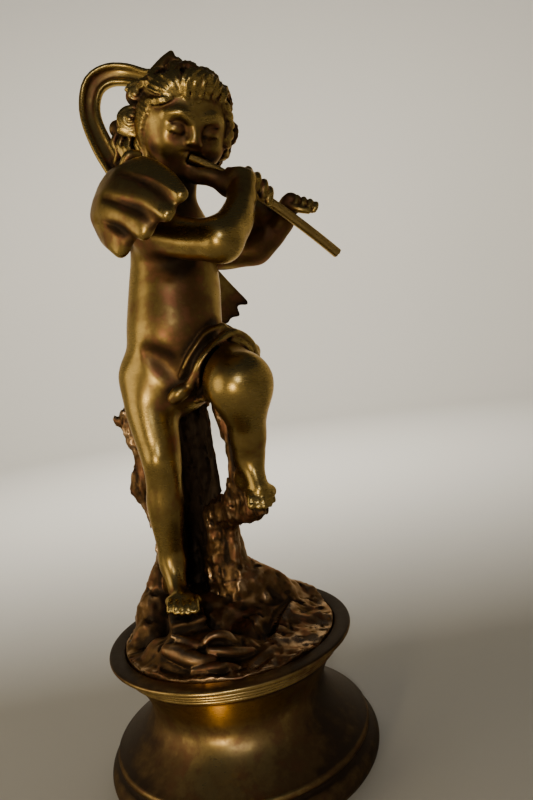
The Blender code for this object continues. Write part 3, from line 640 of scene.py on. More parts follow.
def spiral_curl(clay, centre, wide, tall, turns, hand, facing, bulge):
    """A curl wound in to a knob, seen from the facing side: grooved strands in shrinking ovals."""
    across = unit(np.cross(facing, (0, 0, 1)))
    up = np.cross(across, facing)
    points, radii = [], []
    steps = int(9 * turns)
    for step in range(steps + 1):
        share = step / steps
        angle = hand * (2 * pi * turns * share + 0.6)
        reach = 1 - 0.9 * share
        lift = facing * (0.3 + bulge * share)
        turned = across * cos(angle) * reach * wide * 0.8
        points.append(centre + lift + turned + up * sin(angle) * reach * tall * 0.8)
        radii.append(min(wide, tall) * (0.62 / (turns + 0.6)) * (1 - 0.25 * share))
    clay.lock(points, radii, strands=3, groove=0.15, twist=0.3, blend=0.1)


# Ribbon and cloth

def sculpt_ribbon(clay):
    """The blown ribbon: up the back, in a loop beside the head, with raised edges, to a curled tip."""
    loop = [
        at(-9.0, 6.5, 126.0), at(-11.5, 6.0, 135.0), at(-13.6, 7.0, 142.0), at(-16.4, 9.0, 149.0),
        at(-18.9, 11.0, 157.3), at(-19.1, 12.0, 163.6), at(-16.9, 12.0, 169.0), at(-12.3, 12.0, 171.4),
        at(-6.8, 11.5, 170.8), at(-1.1, 10.0, 168.2), at(3.6, 8.0, 167.6), at(7.2, 6.0, 169.0),
    ]
    widths = (6, 6, 6.4, 6.6, 6.2, 6.2, 6.5, 6.3, 6.1, 5.6, 5.2, 3.6)
    hub = at(-9.0, -60.0, 155.0)
    clay.blade(loop, widths, 2.0, hub, blend=0.6)
    path, spans = curved(loop, widths, 3)
    for side in (-1, 1):
        edge = []
        for i, point in enumerate(path):
            way = path[min(i + 1, len(path) - 1)] - path[max(i - 1, 0)]
            across = unit(np.cross(way, point - hub))
            edge.append(point + across * side * (spans[i] / 2 - 0.9) - (0, 1.1, 0))
        clay.limb(edge, [0.85] * len(edge), blend=0.9)
    peak = [at(2.6, 4.6, 166.6), at(5.4, 3.6, 169.2), at(7.1, 3.6, 171.6), at(7.3, 4.0, 172.8)]
    clay.limb(peak, (3.0, 2.4, 1.3, 0.5), blend=1.2, bends=3)
    tip = [at(5.2, 3.2, 167.4), at(8.8, 3.4, 169.4), at(9.3, 3.4, 168.0)]
    clay.limb(tip, (2.4, 1.5, 1.2), blend=1.0, bends=3)
    curl = [at(5.4, 0.6, 168.0), at(7.2, 0.9, 169.6), at(8.3, 1.2, 168.4)]
    clay.limb(curl, (0.7, 1.1, 0.9), blend=0.5, bends=3, cut=True)
    sash = [at(17.0, 5.0, 85.0), at(12.0, 12.0, 90.0), at(3.0, 15.0, 96.0), at(-6.0, 12.5, 107.0)]
    sash += [at(-9.0, 8.0, 122.0)]
    clay.blade(sash, (5.0, 5.4, 5.4, 5.4, 5.4), 2.2, at(-3, 0, 98), blend=0.8)
    for side in (-1, 1):
        ridge = [point + (0, 0, side * 1.5) for point in sash]
        clay.limb(ridge, (1.2, 1.3, 1.3, 1.3, 1.2), blend=0.8, bends=3)


def sculpt_cloth(clay):
    """The cloth over the left hip and the roll that runs down from it to a soft lobe between the legs."""
    hip = [at(17.0, 5.0, 85.0), at(18.8, -1.0, 84.0), at(18.6, -5.0, 82.2)]
    clay.limb(hip, (2.0, 1.9, 1.6), blend=1, bends=3)
    band = [at(18.7, -5.6, 81.8), at(17.9, -7.6, 85.0), at(15.8, -9.4, 87.7), at(12.8, -11.0, 89.2)]
    band += [at(9.6, -12.2, 89.4)]
    clay.limb(band, (1.2, 1.5, 1.6, 1.6, 1.5), blend=0.8, bends=4)
    inner = [at(17.6, -9.2, 83.6), at(15.4, -11.0, 86.0), at(12.3, -12.2, 87.2), at(9.2, -13.0, 87.0)]
    clay.limb(inner, (0.7, 0.9, 1.0, 1.1), blend=0.5, bends=4)
    fold = [at(10.4, -11.6, 91.4), at(5.6, -12.6, 89.9), at(3.4, -13.6, 87.2), at(1.2, -13.9, 84.6)]
    fold += [at(-0.6, -13.6, 82.0), at(-2.6, -12.2, 79.6)]
    clay.limb(fold, (1.2, 1.7, 1.8, 1.7, 1.5, 1.0), blend=1.6, bends=4)
    hem = [at(10.0, -13.0, 91.6), at(5.4, -14.3, 89.9), at(2.8, -15.4, 87.2), at(0.2, -15.4, 84.2)]
    hem += [at(-1.6, -14.9, 81.6)]
    clay.limb(hem, (0.4, 0.55, 0.6, 0.55, 0.4), blend=0.6, bends=4)
    roll = [at(13.6, -11.6, 89.4), at(10.8, -13.4, 88.6), at(7.8, -16.8, 86.6), at(5.2, -18.8, 84.2)]
    roll += [at(3.0, -18.8, 81.8), at(1.3, -17.6, 79.2), at(-0.2, -16.4, 77.2)]
    clay.limb(roll, (1.2, 1.4, 1.5, 1.5, 1.4, 1.35, 1.5), blend=0.4, bends=4)
    lobe = [at(-0.8, -15.6, 76.4), at(-3.4, -16.2, 75.2), at(-5.2, -15.6, 74.0)]
    clay.limb(lobe, (1.7, 2.2, 1.9), blend=0.6, bends=4)
    clay.limb([at(0.6, -12.6, 72.6), at(2.6, -14.6, 73.2), at(4.4, -16.2, 72.6)], (1.3, 1.3, 1.2), blend=0.8)
    for pit in range(9):
        place = at(-0.4 + 0.6 * pit, -13.4 - 0.5 * pit, 73.0 + 0.7 * sin(2.3 * pit))
        clay.ball(place, 0.45, blend=0.3, cut=True)


def carve_creases(clay):
    """The deep crease between the roll of cloth and the raised thigh, and the finer line beside it."""
    crease = [at(12.4, -12.6, 88.2), at(10.4, -14.4, 87.2), at(7.4, -18.6, 84.7), at(4.9, -20.2, 81.6)]
    crease += [at(3.6, -20.2, 78.7), at(2.8, -18.6, 75.6), at(0.4, -15.6, 73.8), at(-2.0, -13.6, 72.6)]
    for depth, size in ((0.0, 1.0), (1.4, 0.8), (2.8, 0.6)):
        deep = [point + (-0.2, depth, 0) for point in crease]
        clay.limb(deep, np.array([0.4, 0.7, 1, 1, 1, 1, 1, 0.7]) * size, blend=0.5, bends=4, cut=True)
    beside = [at(9.4, -14.6, 89.6), at(6.0, -16.2, 87.8), at(3.6, -17.2, 85.6), at(1.7, -17.2, 83.0)]
    beside += [at(0.2, -16.4, 80.4)]
    clay.limb(beside, (0.3, 0.5, 0.55, 0.5, 0.3), blend=0.5, bends=4, cut=True)


# The wings

# Each row is one broad feather, at five places from its root to its tip
NEAR_FEATHERS = (
    ((-9.5, -8, 130), (-9, -18, 133), (-6, -27.5, 132), (0.4, -36.5, 126.2), (5.0, -43, 120)),
    ((-10.5, -6, 127), (-13.4, -18, 129.2), (-10.4, -30, 126.0), (-2.6, -38, 120.6), (1.4, -42.5, 116.2)),
    ((-11, -4, 124), (-15.6, -17, 126.4), (-13.8, -28, 122.2), (-7.2, -36, 117.4), (-4.2, -39, 113.6)),
    ((-11, -3, 121), (-15.0, -15, 122.0), (-14.2, -24, 118.8), (-12.2, -30.5, 115.5), (-10.8, -33, 111.2)),
)
FAR_FEATHERS = (
    ((-5, 9, 125), (-1, 17, 124), (5, 25, 117), (14, 31, 106), (21.6, 35, 99.6)),
    ((-6, 9, 123), (-3, 17, 121.5), (1.5, 25, 112), (10, 31, 101.5), (18.4, 34.5, 95.6)),
    ((-7, 9, 120), (-5, 16, 116), (-2, 24, 107), (5, 29.5, 99.5), (13.4, 33, 94.4)),
    ((-8, 9, 117), (-7.5, 15, 111), (-6, 21, 104), (-1, 27, 98.5), (3.4, 30.5, 95.4)),
)


def sculpt_wing(clay, feathers, widths, thickness, hub, blend):
    """A small cupped wing: broad feathers run together into a dome, parted by soft grooves at their tips."""
    feathers = [[at(*place) for place in feather] for feather in feathers]
    for near, far in zip(feathers, feathers[1:]):
        between = [(a + b) / 2 for a, b in zip(near, far)]
        between[-1] = between[-1] * 0.5 + between[-2] * 0.5
        clay.blade(between, widths, thickness * 0.9, hub, blend=blend, bends=5)
    for feather in feathers:
        clay.blade(feather, widths, thickness, hub, blend=blend, bends=5)
    clay.soften(0.8)
    for near, far in zip(feathers, feathers[1:]):
        groove = [(a + b) / 2 for a, b in zip(near[2:], far[2:])]
        groove = [point + unit(point - hub) * (thickness / 2 + 0.8) for point in groove]
        clay.limb(groove, (0.1, 0.45, 0.9), blend=2.2, bends=4, cut=True)
    clay.soften(0.55)


def sculpt_wings(clay):
    sculpt_wing(clay, FAR_FEATHERS, (7, 9, 9, 7.6, 4.2), 2.9, CHEST - (0, 0, 12), 1.6)
    sculpt_wing(clay, NEAR_FEATHERS, (6.5, 9.4, 9.8, 8.2, 5.0), 3.2, RIGHT_SHOULDER, 2.4)
    root = [at(-9, -4, 126), at(-11.5, -15, 129.0), at(-10.5, -22, 129.0)]
    clay.limb(root, (3.8, 4.2, 3.4), blend=3, bends=4)
    tuft = [at(-9.6, -13.0, 137.0), at(-7.6, -13.6, 139.2), at(-5.2, -13.0, 139.6)]
    clay.limb(tuft, (1.2, 1.6, 1.2), blend=1.2, bends=4)
    clay.limb([at(-7, 8, 121), at(-4, 16, 121), at(-1, 21, 117)], (3.6, 3.8, 3.0), blend=2.5, bends=4)


# The tree and the ground

def sculpt_tree(clay):
    """The hollow trunk behind the legs, its broken edges, and the stump that carries the raised foot."""
    wall = [at(-22, 8, 2), at(-19, 10, 14), at(-16.5, 11.5, 27), at(-18.6, 12, 40)]
    wall += [at(-21.4, 12, 46), at(-19.4, 12, 55), at(-21, 12, 62), at(-22, 12, 69)]
    clay.limb(wall, (6.5, 4.6, 3.4, 3.4, 3.8, 3.2, 3.3, 2.8), bends=3)
    clay.limb([at(-22, 12, 66), at(-27.0, 12, 68.6)], (2.8, 0.9), blend=1.5)
    clay.limb([at(-20.5, 12, 47.5), at(-24.4, 12, 45.2)], (3.4, 1.2), blend=1.5)
    clay.limb([at(-15, 15, 4), at(-14, 16, 36), at(-14, 14.5, 70)], (6.5, 4.4, 4.4), blend=2)
    back = [at(-6, 19, 0), at(-7, 18.5, 36), at(-6, 15.5, 70), at(-7, 9, 76)]
    clay.limb(back, (8.0, 5.0, 4.6, 6.0), blend=2)
    clay.limb([at(0, 13, 2), at(-1, 13, 34), at(-0.5, 11, 66)], (7.0, 3.6, 3.4), blend=2)
    for x, y, radius in ((-10.5, 16.5, 4.0), (-3.5, 15.5, 3.8)):
        clay.limb([at(x, y, 3), at(x, y, 68)], (radius, radius), blend=2)
    lip = [at(0.4, 9, 34), at(1.6, 7.5, 46), at(1.4, 8, 58), at(1.6, 7, 68), at(2.5, 3, 75)]
    clay.limb(lip, (3.0, 1.5, 1.7, 1.6, 3.0), blend=1.2, bends=3)
    fringe = [at(6.6, -4, 73), at(7.6, -8, 65), at(7.8, -10, 57), at(7.8, -9.5, 49), at(5.8, -4.5, 41)]
    clay.limb(fringe, (3.6, 2.5, 1.9, 2.1, 3.4), blend=1.2, bends=3)
    stump = [at(4.4, 6, 0), at(2.8, 4.4, 18), at(2.4, 3.2, 30), at(3.2, 1.4, 37)]
    clay.limb(stump, (10.8, 6.4, 4.9, 4.8), blend=2, bends=3)
    clay.limb([at(-0.2, 4.2, 8), at(-0.8, 3.4, 24), at(0.4, 2.4, 36.5)], (5.4, 4.0, 3.9), blend=1.5, bends=3)
    branch = [at(3.6, 1.4, 36.6), at(7.4, -4.0, 37.6), at(10.8, -10.5, 39.2), at(13.8, -18.0, 40.8)]
    clay.limb(branch, (4.8, 4.4, 4.0, 2.5), blend=2, bends=3)
    clay.limb([at(8.0, -7.0, 44.0), at(10.8, -12.0, 45.0), at(12.6, -16.0, 43.4)], (2.6, 2.6, 2.4), blend=2)


def carve_bark(clay):
    """Upright ridges and broken edges over the trunk, from grain stretched along it."""
    cells, axes = clay.window((-40, -30, SEAT_LEVEL + 8), (30, 40, SEAT_LEVEL + 80))
    coarse = 1 - 2 * np.abs(grain(axes, (2.6, 2.6, 11), 1))
    fine = 1 - 2 * np.abs(grain(axes, (1.1, 1.1, 3.4), 2))
    speck = grain(axes, (0.9, 0.9, 0.9), 3)
    clay.depth[cells] += (0.5 * coarse + 0.42 * fine + 0.22 * speck).astype(np.float32)


def draped(clay, places, lift):
    """These places, laid on the clay's upper surface."""
    return [np.array([x, y, clay.top(x, y) + lift]) for x, y in places]


def sculpt_ground(clay):
    """Rough ground filling the pedestal's rim: a flat stone under the toes, a curled root, a cleft, rocks."""
    clay.limb([at(-4, 6, -5), at(8, 8, -4)], (19.0, 17.0))
    clay.limb([at(8, 5, 12), at(13, 6, 9.5), at(19.5, 8.5, 4.5)], (7.5, 6.0, 4.6), blend=3, bends=3)
    clay.limb([at(18, 12, 3), at(25.0, 11, 1.5)], (5.4, 3.4), blend=2)
    clay.limb([at(21.0, 11.5, 5.4), at(26.0, 11, 3.4)], (3.2, 2.6), blend=0.8)
    clay.limb([at(25, 11, 1.5), at(22, 3, 0.5)], (3.4, 4.4), blend=2)
    clay.limb([at(17, -2, 1.5), at(24, -5, -0.5)], (5.0, 3.4), blend=2)
    clay.limb([at(17, -3, 1.2), at(12.5, -14, -0.6)], (4.6, 3.8), blend=2)
    clay.limb([at(7, -6, 2.0), at(4, -12, 0.0)], (5.4, 4.6), blend=2)
    clay.limb([at(-18.5, 8, 18), at(-22, 4, 9), at(-25.0, -2, 2)], (4.0, 5.4, 4.6), blend=3, bends=3)
    cells, (x, y, z) = clay.window((-34, -34, SEAT_LEVEL - 8), (34, 34, SEAT_LEVEL + 16))
    radius = np.sqrt(x * x + y * y)
    low = z - SEAT_LEVEL - 2.3 - 0.1 * np.maximum(CASTING_FOOT_RADIUS - 4 - radius, 0)
    clay.press(cells, np.broadcast_to(low, clay.depth[cells].shape), blend=2.5)
    rough = grain((x, y, z), (7, 5, 6), 4) * 0.8 + grain((x, y, z), (2.6, 2.2, 3), 5) * 0.5
    rough = rough + grain((x, y, z), (1.3, 1.1, 1.4), 6) * 0.22
    clay.depth[cells] += rough.astype(np.float32)


def carve_ground(clay):
    """Tool strokes over the ground and the stump's foot: short ribs and gouges that run down and outwards."""
    chance = np.random.default_rng(5)
    for stroke in range(GROUND_STROKES):
        turn, out = chance.uniform(0, 2 * pi), CASTING_FOOT_RADIUS * chance.uniform(0.08, 0.97) ** 0.6
        x, y = out * cos(turn), out * sin(turn)
        start = np.array([x, y, clay.top(x, y)])
        if start[2] > SEAT_LEVEL + 34 or hypot(x - 14.5, 1.3 * (y - 4)) < 4.6:
            continue
        drift = turn + chance.uniform(-0.9, 0.9)
        length = chance.uniform(1.8, 5.5)
        points = [start]
        for step in range(3):
            ahead = points[-1][:2] + np.array([cos(drift), sin(drift)]) * length / 3
            drift += chance.uniform(-0.35, 0.35)
            points.append(np.array([*ahead, clay.top(*ahead)]))
        if np.abs(np.diff([point[2] for point in points])).max() > STEEPEST_STEP:
            continue
        size = chance.uniform(0.22, 0.5)
        cut = stroke % 2 == 0
        lift = 0.15 if cut else -0.35 * size
        clay.limb(np.array(points) + (0, 0, lift), (size * 0.4, size, size, size * 0.3), blend=0.35, cut=cut)


def sculpt_foreground(clay):
    """What stands out at the front: the stone under the toes, the folds that curl over, and the cleft."""
    turn = 0.17
    sides = np.array([[cos(turn), sin(turn), 0], [-sin(turn), cos(turn), 0], [0, 0, 1]])
    cells, axes = clay.window((-24, -24, SEAT_LEVEL - 2), (0, 2, SEAT_LEVEL + 18))
    offset = offsets(axes, at(-11.4, -11.0, 7.6))
    depths = [half - np.abs(dot(offset, side)) for side, half in zip(sides, (4.6, 4.4, 4.2))]
    stone = soft_min(depths[0], soft_min(depths[1], depths[2], 1.2), 1.2)
    clay.press(cells, -stone - 0.5 + 0.35 * grain(axes, (2.4, 2.4, 1.6), 8), blend=1.0)
    swell = [at(-20, -12, 2.5), at(-13, -17.6, 3.6), at(-4.5, -18.4, 4.2), at(4, -17, 1.5)]
    clay.limb(swell, (4.4, 4.8, 4.8, 3.6), blend=2.5, bends=3)
    tongue = [at(-17.0, -19.5, 6.6), at(-12.8, -22.4, 6.0), at(-8.8, -24.4, 4.6), at(-4.8, -24.8, 4.2)]
    clay.limb(tongue, (1.8, 2.6, 2.4, 1.5), blend=0.9, bends=4)
    rim = [at(-15.0, -18.4, 9.6), at(-11.4, -20.4, 8.6), at(-8.9, -21.6, 7.7), at(-6.8, -22.2, 8.0)]
    rim += [at(-5.0, -22.0, 9.2), at(-2.6, -21.6, 9.4), at(-0.4, -21.0, 8.3), at(0.8, -20.6, 5.8)]
    clay.limb(rim, (0.8, 1.1, 1.1, 1.0, 1.1, 1.3, 1.4, 1.8), blend=1.2, bends=4)
    clay.limb([at(-8.0, -23.2, 6.4), at(-6.2, -23.4, 6.3)], (0.7, 1.3), blend=0.5, cut=True)
    clay.limb([at(-3.6, -23.0, 7.6), at(-1.8, -22.6, 7.0)], (1.1, 0.8), blend=0.5, cut=True)
    folds = (
        ([at(-5.4, -23.6, 6.4), at(0, -23.6, 5.0), at(5.6, -21.6, 3.2)], (1.2, 1.6, 1.2), 0.5),
        ([at(-10, -26.6, 3), at(-4.8, -27.2, 3.2), at(-0.4, -26.2, 2), at(2.2, -26, 0.4)],
         (1, 1.6, 1.5, 1), 0.4),
        ([at(-21.5, -15.5, 1.4), at(-16.5, -20.5, 2.4), at(-11.0, -25.4, 1.4)], (2.2, 2.4, 1.2), 0.6),
        ([at(3.5, -25.5, 0.8), at(9.5, -22.5, 1.6), at(14.5, -19.5, 0.8)], (1.2, 1.8, 1.2), 0.8),
    )
    for fold, radii, blend in folds:
        clay.limb(fold, radii, blend=blend, bends=4)
    cleft = [(19.0, 0.2), (16.6, -3.4), (14.2, -6.6), (12.4, -10.2), (10.6, -14), (8.8, -17.6)]
    for lift, size in ((0.2, 1.2), (-1.2, 0.95), (-2.6, 0.65)):
        line = draped(clay, cleft, lift)
        clay.limb(line, np.array([0.5, 1, 1.15, 1.15, 1.05, 0.6]) * size, blend=0.4, bends=3, cut=True)


def trim_foot(clay):
    """Cuts the casting's foot flat, and round where it drops into the pedestal."""
    clay.depth = np.maximum(clay.depth, CASTING_LOW[2] - clay.everywhere()[2])
    cells, (x, y, z) = clay.window((-60, -60, SEAT_LEVEL - 4), (60, 60, RIM_TOP + 1.6))
    clay.depth[cells] = np.maximum(clay.depth[cells], np.sqrt(x * x + y * y) - CASTING_FOOT_RADIUS)


# Putting the casting together

def sculpt_casting():
    """The whole casting, and its parts apart: each part tells the finish where it is."""
    margin = 2.0
    low, high = CASTING_LOW - margin, CASTING_HIGH + margin
    parts = {
        "skin": Clay((-26, -48, SEAT_LEVEL + 8), (high[0], 26, SEAT_LEVEL + 168)),
        "hair": Clay((-20, -24, SEAT_LEVEL + 128), (30, 24, SEAT_LEVEL + 176)),
        "cloth": Clay((-28, -22, SEAT_LEVEL + 66), (26, 22, high[2])),
        "wings": Clay((low[0], low[1], SEAT_LEVEL + 88), (30, high[1] + 3, SEAT_LEVEL + 146)),
        "wood": Clay((-36, -36, low[2]), (36, 36, SEAT_LEVEL + 84)),
    }
    skin = parts["skin"]
    sculpt_torso(skin)
    sculpt_legs(skin)
    sculpt_feet(skin)
    sculpt_arms(skin)
    skin.soften(0.8)
    sculpt_toes(skin)
    sculpt_hands(skin)
    sculpt_head(skin)
    sculpt_hair(parts["hair"])
    sculpt_ribbon(parts["cloth"])
    sculpt_cloth(parts["cloth"])
    sculpt_wings(parts["wings"])
    sculpt_tree(parts["wood"])
    carve_bark(parts["wood"])
    sculpt_ground(parts["wood"])
    sculpt_foreground(parts["wood"])
    carve_ground(parts["wood"])

    casting = Clay(low, high)
    for name, blend in (("skin", 0), ("cloth", 0.6), ("wings", 1.2), ("hair", 0.4), ("wood", 0.7)):
        casting.join(parts[name], blend)
    carve_creases(casting)
    channel = np.array([flute_point(share) for share in np.linspace(0, 1.05, 16)])
    reach = FLUTE_RADIUS * np.linspace(FLUTE_TAPER, 1, 16) + FIT_GAP
    casting.groove(channel, reach, FIT_GAP)
    trim_foot(casting)
    return casting, parts


# From clay to mesh

def skin_mesh(clay):
    """The clay's surface: one corner in each cell that it crosses, and a face across each crossed edge."""
    depth = clay.depth
    solid = depth < 0
    count = np.array(depth.shape)
    block = np.zeros(count - 1, np.uint8)
    for corner in range(8):
        step = (corner & 1, corner >> 1 & 1, corner >> 2 & 1)
        block += solid[tuple(slice(s, n - 1 + s) for s, n in zip(step, count))]
    cells = np.argwhere((block > 0) & (block < 8))
    total = np.zeros((len(cells), 3))
    crossings = np.zeros(len(cells))
    for axis in range(3):
        for corner in range(4):
            step = np.zeros(3, int)
            others = [a for a in range(3) if a != axis]
            step[others[0]], step[others[1]] = corner & 1, corner >> 1
            start = cells + step
            end = start + np.eye(3, dtype=int)[axis]
            first, second = depth[tuple(start.T)], depth[tuple(end.T)]
            crossed = (first < 0) != (second < 0)
            share = np.where(crossed, first / np.where(crossed, first - second, 1), 0)
            place = step + np.eye(3)[axis] * share[:, None]
            total += place * crossed[:, None]
            crossings += crossed
    corners = (cells + total / crossings[:, None] + clay.first) * GRID
    number = np.full(count - 1, -1, np.int32)
    number[tuple(cells.T)] = np.arange(len(cells))
    faces = []
    for axis in range(3):
        low = [slice(1, n - 1) for n in count]
        low[axis] = slice(0, count[axis] - 1)
        high = list(low)
        high[axis] = slice(1, count[axis])
        first, second = solid[tuple(low)], solid[tuple(high)]
        edges = np.argwhere(first != second)
        leaving = first[tuple(edges.T)]
        edges += [0 if a == axis else 1 for a in range(3)]
        one, two = [np.eye(3, dtype=int)[a] for a in range(3) if a != axis]
        ring = [number[tuple((edges - s).T)] for s in (one + two, two, 0 * one, one)]
        quads = np.stack(ring, 1)
        flip = leaving if axis == 1 else ~leaving
        quads[flip] = quads[flip][:, ::-1]
        faces.append(quads)
    return corners, np.vstack(faces)


def mesh_from(name, corners, faces):
    """A mesh of quads or triangles from two arrays, in metres."""
    mesh = bpy.data.meshes.new(name)
    sides = faces.shape[1]
    mesh.vertices.add(len(corners))
    mesh.vertices.foreach_set("co", (corners * MM).astype(np.float32).ravel())
    mesh.loops.add(faces.size)
    mesh.loops.foreach_set("vertex_index", faces.astype(np.int32).ravel())
    mesh.polygons.add(len(faces))
    mesh.polygons.foreach_set("loop_start", np.arange(0, faces.size, sides, dtype=np.int32))
    mesh.update(calc_edges=True)
    mesh.validate()
    return mesh


def corners_of(mesh):
    places = np.empty(len(mesh.vertices) * 3, np.float32)
    mesh.vertices.foreach_get("co", places)
    return places.reshape(-1, 3).astype(float) / MM


def add_mask(mesh, name, values):
    """A value from 0 to 1 at each corner, which the finish reads."""
    layer = mesh.attributes.new(name, "FLOAT", "POINT")
    layer.data.foreach_set("value", np.clip(values, 0, 1).astype(np.float32))


def dressed(name, mesh, material):
    """A smooth piece in the scene, made of this mesh and this material."""
    mesh.polygons.foreach_set("use_smooth", np.ones(len(mesh.polygons), bool))
    mesh.materials.append(material)
    piece = bpy.data.objects.new(name, mesh)
    bpy.context.scene.collection.objects.link(piece)
    return piece


def turned_mesh(name, loops, lids=()):
    """A mesh of rings of corners, each joined to the next by quads. lids gives the rings that are closed."""
    form = bmesh.new()
    rings = [[form.verts.new(corner) for corner in loop] for loop in loops]
    for low, high in zip(rings, rings[1:]):
        for i, j in zip(range(len(low)), [*range(1, len(low)), 0]):
            form.faces.new([low[i], high[i], high[j], low[j]])
    for lid in lids:
        form.faces.new(rings[lid])
    bmesh.ops.recalc_face_normals(form, faces=form.faces)
    mesh = bpy.data.meshes.new(name)
    form.to_mesh(mesh)
    form.free()
    return mesh


def thinned(mesh, triangles):
    """The same skin with fewer triangles, kept where it bends most."""
    helper = bpy.data.objects.new("thinning", mesh)
    bpy.context.scene.collection.objects.link(helper)
    thin = helper.modifiers.new("Thin", "DECIMATE")
    thin.ratio = min(1.0, triangles / (2 * len(mesh.polygons)))
    thin.use_collapse_triangulate = True
    graph = bpy.context.evaluated_depsgraph_get()
    graph.update()
    result = bpy.data.meshes.new_from_object(helper.evaluated_get(graph))
    bpy.data.objects.remove(helper)
    return result


# Where the finish changes over the casting

def hollowness(clay, corners, outward):
    """From 0 on open surfaces to 1 deep in a crease, from how near the clay comes again above the surface."""
    shade = 0
    for height, weight in ((0.7, 0.22), (1.4, 0.26), (2.6, 0.28), (4.2, 0.24)):
        shade = shade + weight * np.clip(1 - clay.probe(corners + outward * height) / height, 0, 1)
    return shade


def painted_trunk_shade(corners):
    """Painted shade: the inside of the hollow trunk behind the legs, made near black where the legs shade it.
    """
    x, y, z = corners.T
    away = np.hypot(x + 4.5, (y - 11.0) * 0.9)
    level = z - SEAT_LEVEL
    ends = np.clip((level - 11) / 6, 0, 1) * np.clip((80 - level) / 4, 0, 1)
    return np.clip((9.5 - away) / 3.0, 0, 1) * ends * (y > 1)


# Painted shade where the figure lies in shade, under the arms, behind the far wing and on the hair's far
# side: middle, reach in mm, how dark
PAINTED_SHADE_PLACES = (
    (at(2, -12, 119), 11, 0.55), (at(3, -13, 105), 12, 0.22), (at(-3, -14, 85), 9, 0.30),
    (at(20, 0, 147), 8, 0.40), (at(27, 11, 117), 12, 0.50), (at(38, 4, 125), 8, 0.40),
    (at(17, -11, 131), 6, 0.45), (at(-14, -24, 122), 8, 0.20), (at(6, -18, 84), 6, 0.30),
    (at(-14, 11, 168), 10, 0.28), (at(11, -14, 139), 6, 0.30), (at(4, -10, 130), 9, 0.50),
    (at(6, 4, 168), 6, 0.40), (at(2, -14, 97), 13, 0.24), (at(14, -15, 62), 5, 0.20),
    (at(-6, -10, 62), 5, 0.15), (at(18, 34, 98), 14, 0.40),
)


def painted_shade_amount(corners):
    """How much painted shade each corner gets, from the places above."""
    total = 0
    for middle, reach, amount in PAINTED_SHADE_PLACES:
        away = np.linalg.norm(corners - middle, axis=1) / reach
        total = total + 1.15 * amount * np.exp(-(away**2) * 1.4)
    return total


def proudness(clay, corners, outward):
    """From 0 on flat or hollow surfaces to 1 on sharp edges that a hand or cloth rubs."""
    inside = -clay.probe(corners - outward * 1.2)
    return np.clip((1.2 - inside) / 0.7, 0, 1)


def build_casting():
    """The child, its wings and cloth, the tree and the ground, skinned as one piece, with its masks."""
    casting, parts = sculpt_casting()
    rough = mesh_from("casting skin", *skin_mesh(casting))
    mesh = thinned(rough, CASTING_TRIANGLES)
    corners = corners_of(mesh)
    outward = casting.slope(corners, 0.45)
    closeness = {name: np.maximum(part.probe(corners), 0) for name, part in parts.items()}
    total = sum(np.exp(-near * MASK_FADE) for near in closeness.values()) + 1e-6
    # The hollow mask holds the patina of the creases and, added to it, the painted shade inside the trunk.
    add_mask(mesh, "hollow", hollowness(casting, corners, outward) * 1.5 + painted_trunk_shade(corners))
    add_mask(mesh, "proud", proudness(casting, corners, outward))
    # Painted shade, from the places listed above.
    add_mask(mesh, "painted_shade", painted_shade_amount(corners))
    for name in ("hair", "cloth", "wings", "wood"):
        add_mask(mesh, name, np.exp(-closeness[name] * MASK_FADE) / total)
    piece = dressed("cherub_casting", mesh, casting_brass())
    mesh.normals_split_custom_set_from_vertices(outward)
    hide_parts("cherub")
    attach(piece, "root")
    return piece


# The pedestal and the flute

def arc(centre, radius, start, end, steps):
    """Points of an arc in the profile's plane, angles in degrees from the outward side."""
    angles = np.radians(np.linspace(start, end, steps + 1))
    return [(centre[0] + radius * cos(a), centre[1] + radius * sin(a)) for a in angles]


def hollow(first, last, sag, steps):
    """Points between two ends along a line that sags inwards by sag at its middle."""
    points = []
    for i in range(1, steps):
        share = i / steps
        radius = first[0] + (last[0] - first[0]) * share - sag * 4 * share * (1 - share)
        points.append((radius, first[1] + (last[1] - first[1]) * share))
    return points


def pedestal_profile():
    """The turned outline, from the centre of the top, down the outer side, to the centre of the underside."""
    rim_level = RIM_TOP - BEAD_RADIUS
    outline = [(0.0, SEAT_LEVEL), (SEAT_RADIUS - SEAT_FILLET, SEAT_LEVEL)]
    outline += [(SEAT_RADIUS, SEAT_LEVEL + SEAT_FILLET), (SEAT_RADIUS, RIM_TOP - RIM_CHAMFER)]
    outline += [(SEAT_RADIUS + RIM_CHAMFER, RIM_TOP)]
    outline += arc((RIM_RADIUS - BEAD_RADIUS, rim_level), BEAD_RADIUS, 90, -70, 12)
    lip = (RIM_RADIUS - 2.0 * BEAD_RADIUS, rim_level - BEAD_RADIUS)
    waist = (WAIST_RADIUS, WAIST_LEVEL)
    throat = [lip, *hollow(lip, waist, THROAT_SAG, 40), waist]
    for bead in throat[3:10:3]:
        outline += arc(bead, RING_RADIUS, 85, -75, 8)
    step = (STEP_RADIUS - 1.2 * BEAD_RADIUS, FOOT_HEIGHT + STEP_HEIGHT)
    body = np.array(throat[12:] + hollow(waist, step, FLARE_SAG, 26))
    for _ in range(WAIST_ROUNDING):
        body[1:-1] = (body[:-2] + body[1:-1] * 2 + body[2:]) / 4
    outline += [tuple(point) for point in body]
    half_step = STEP_HEIGHT / 2
    outline += arc((STEP_RADIUS - half_step, FOOT_HEIGHT + half_step), half_step, 75, -55, 10)
    swell = FOOT_HEIGHT / 2 * 0.96
    outline += arc((FOOT_RADIUS - swell, FOOT_HEIGHT / 2), swell, 72, -60, 18)
    outline += [(FOOT_RADIUS - swell * 0.6, 0.0), (0.0, 0.0)]
    return np.array(outline)


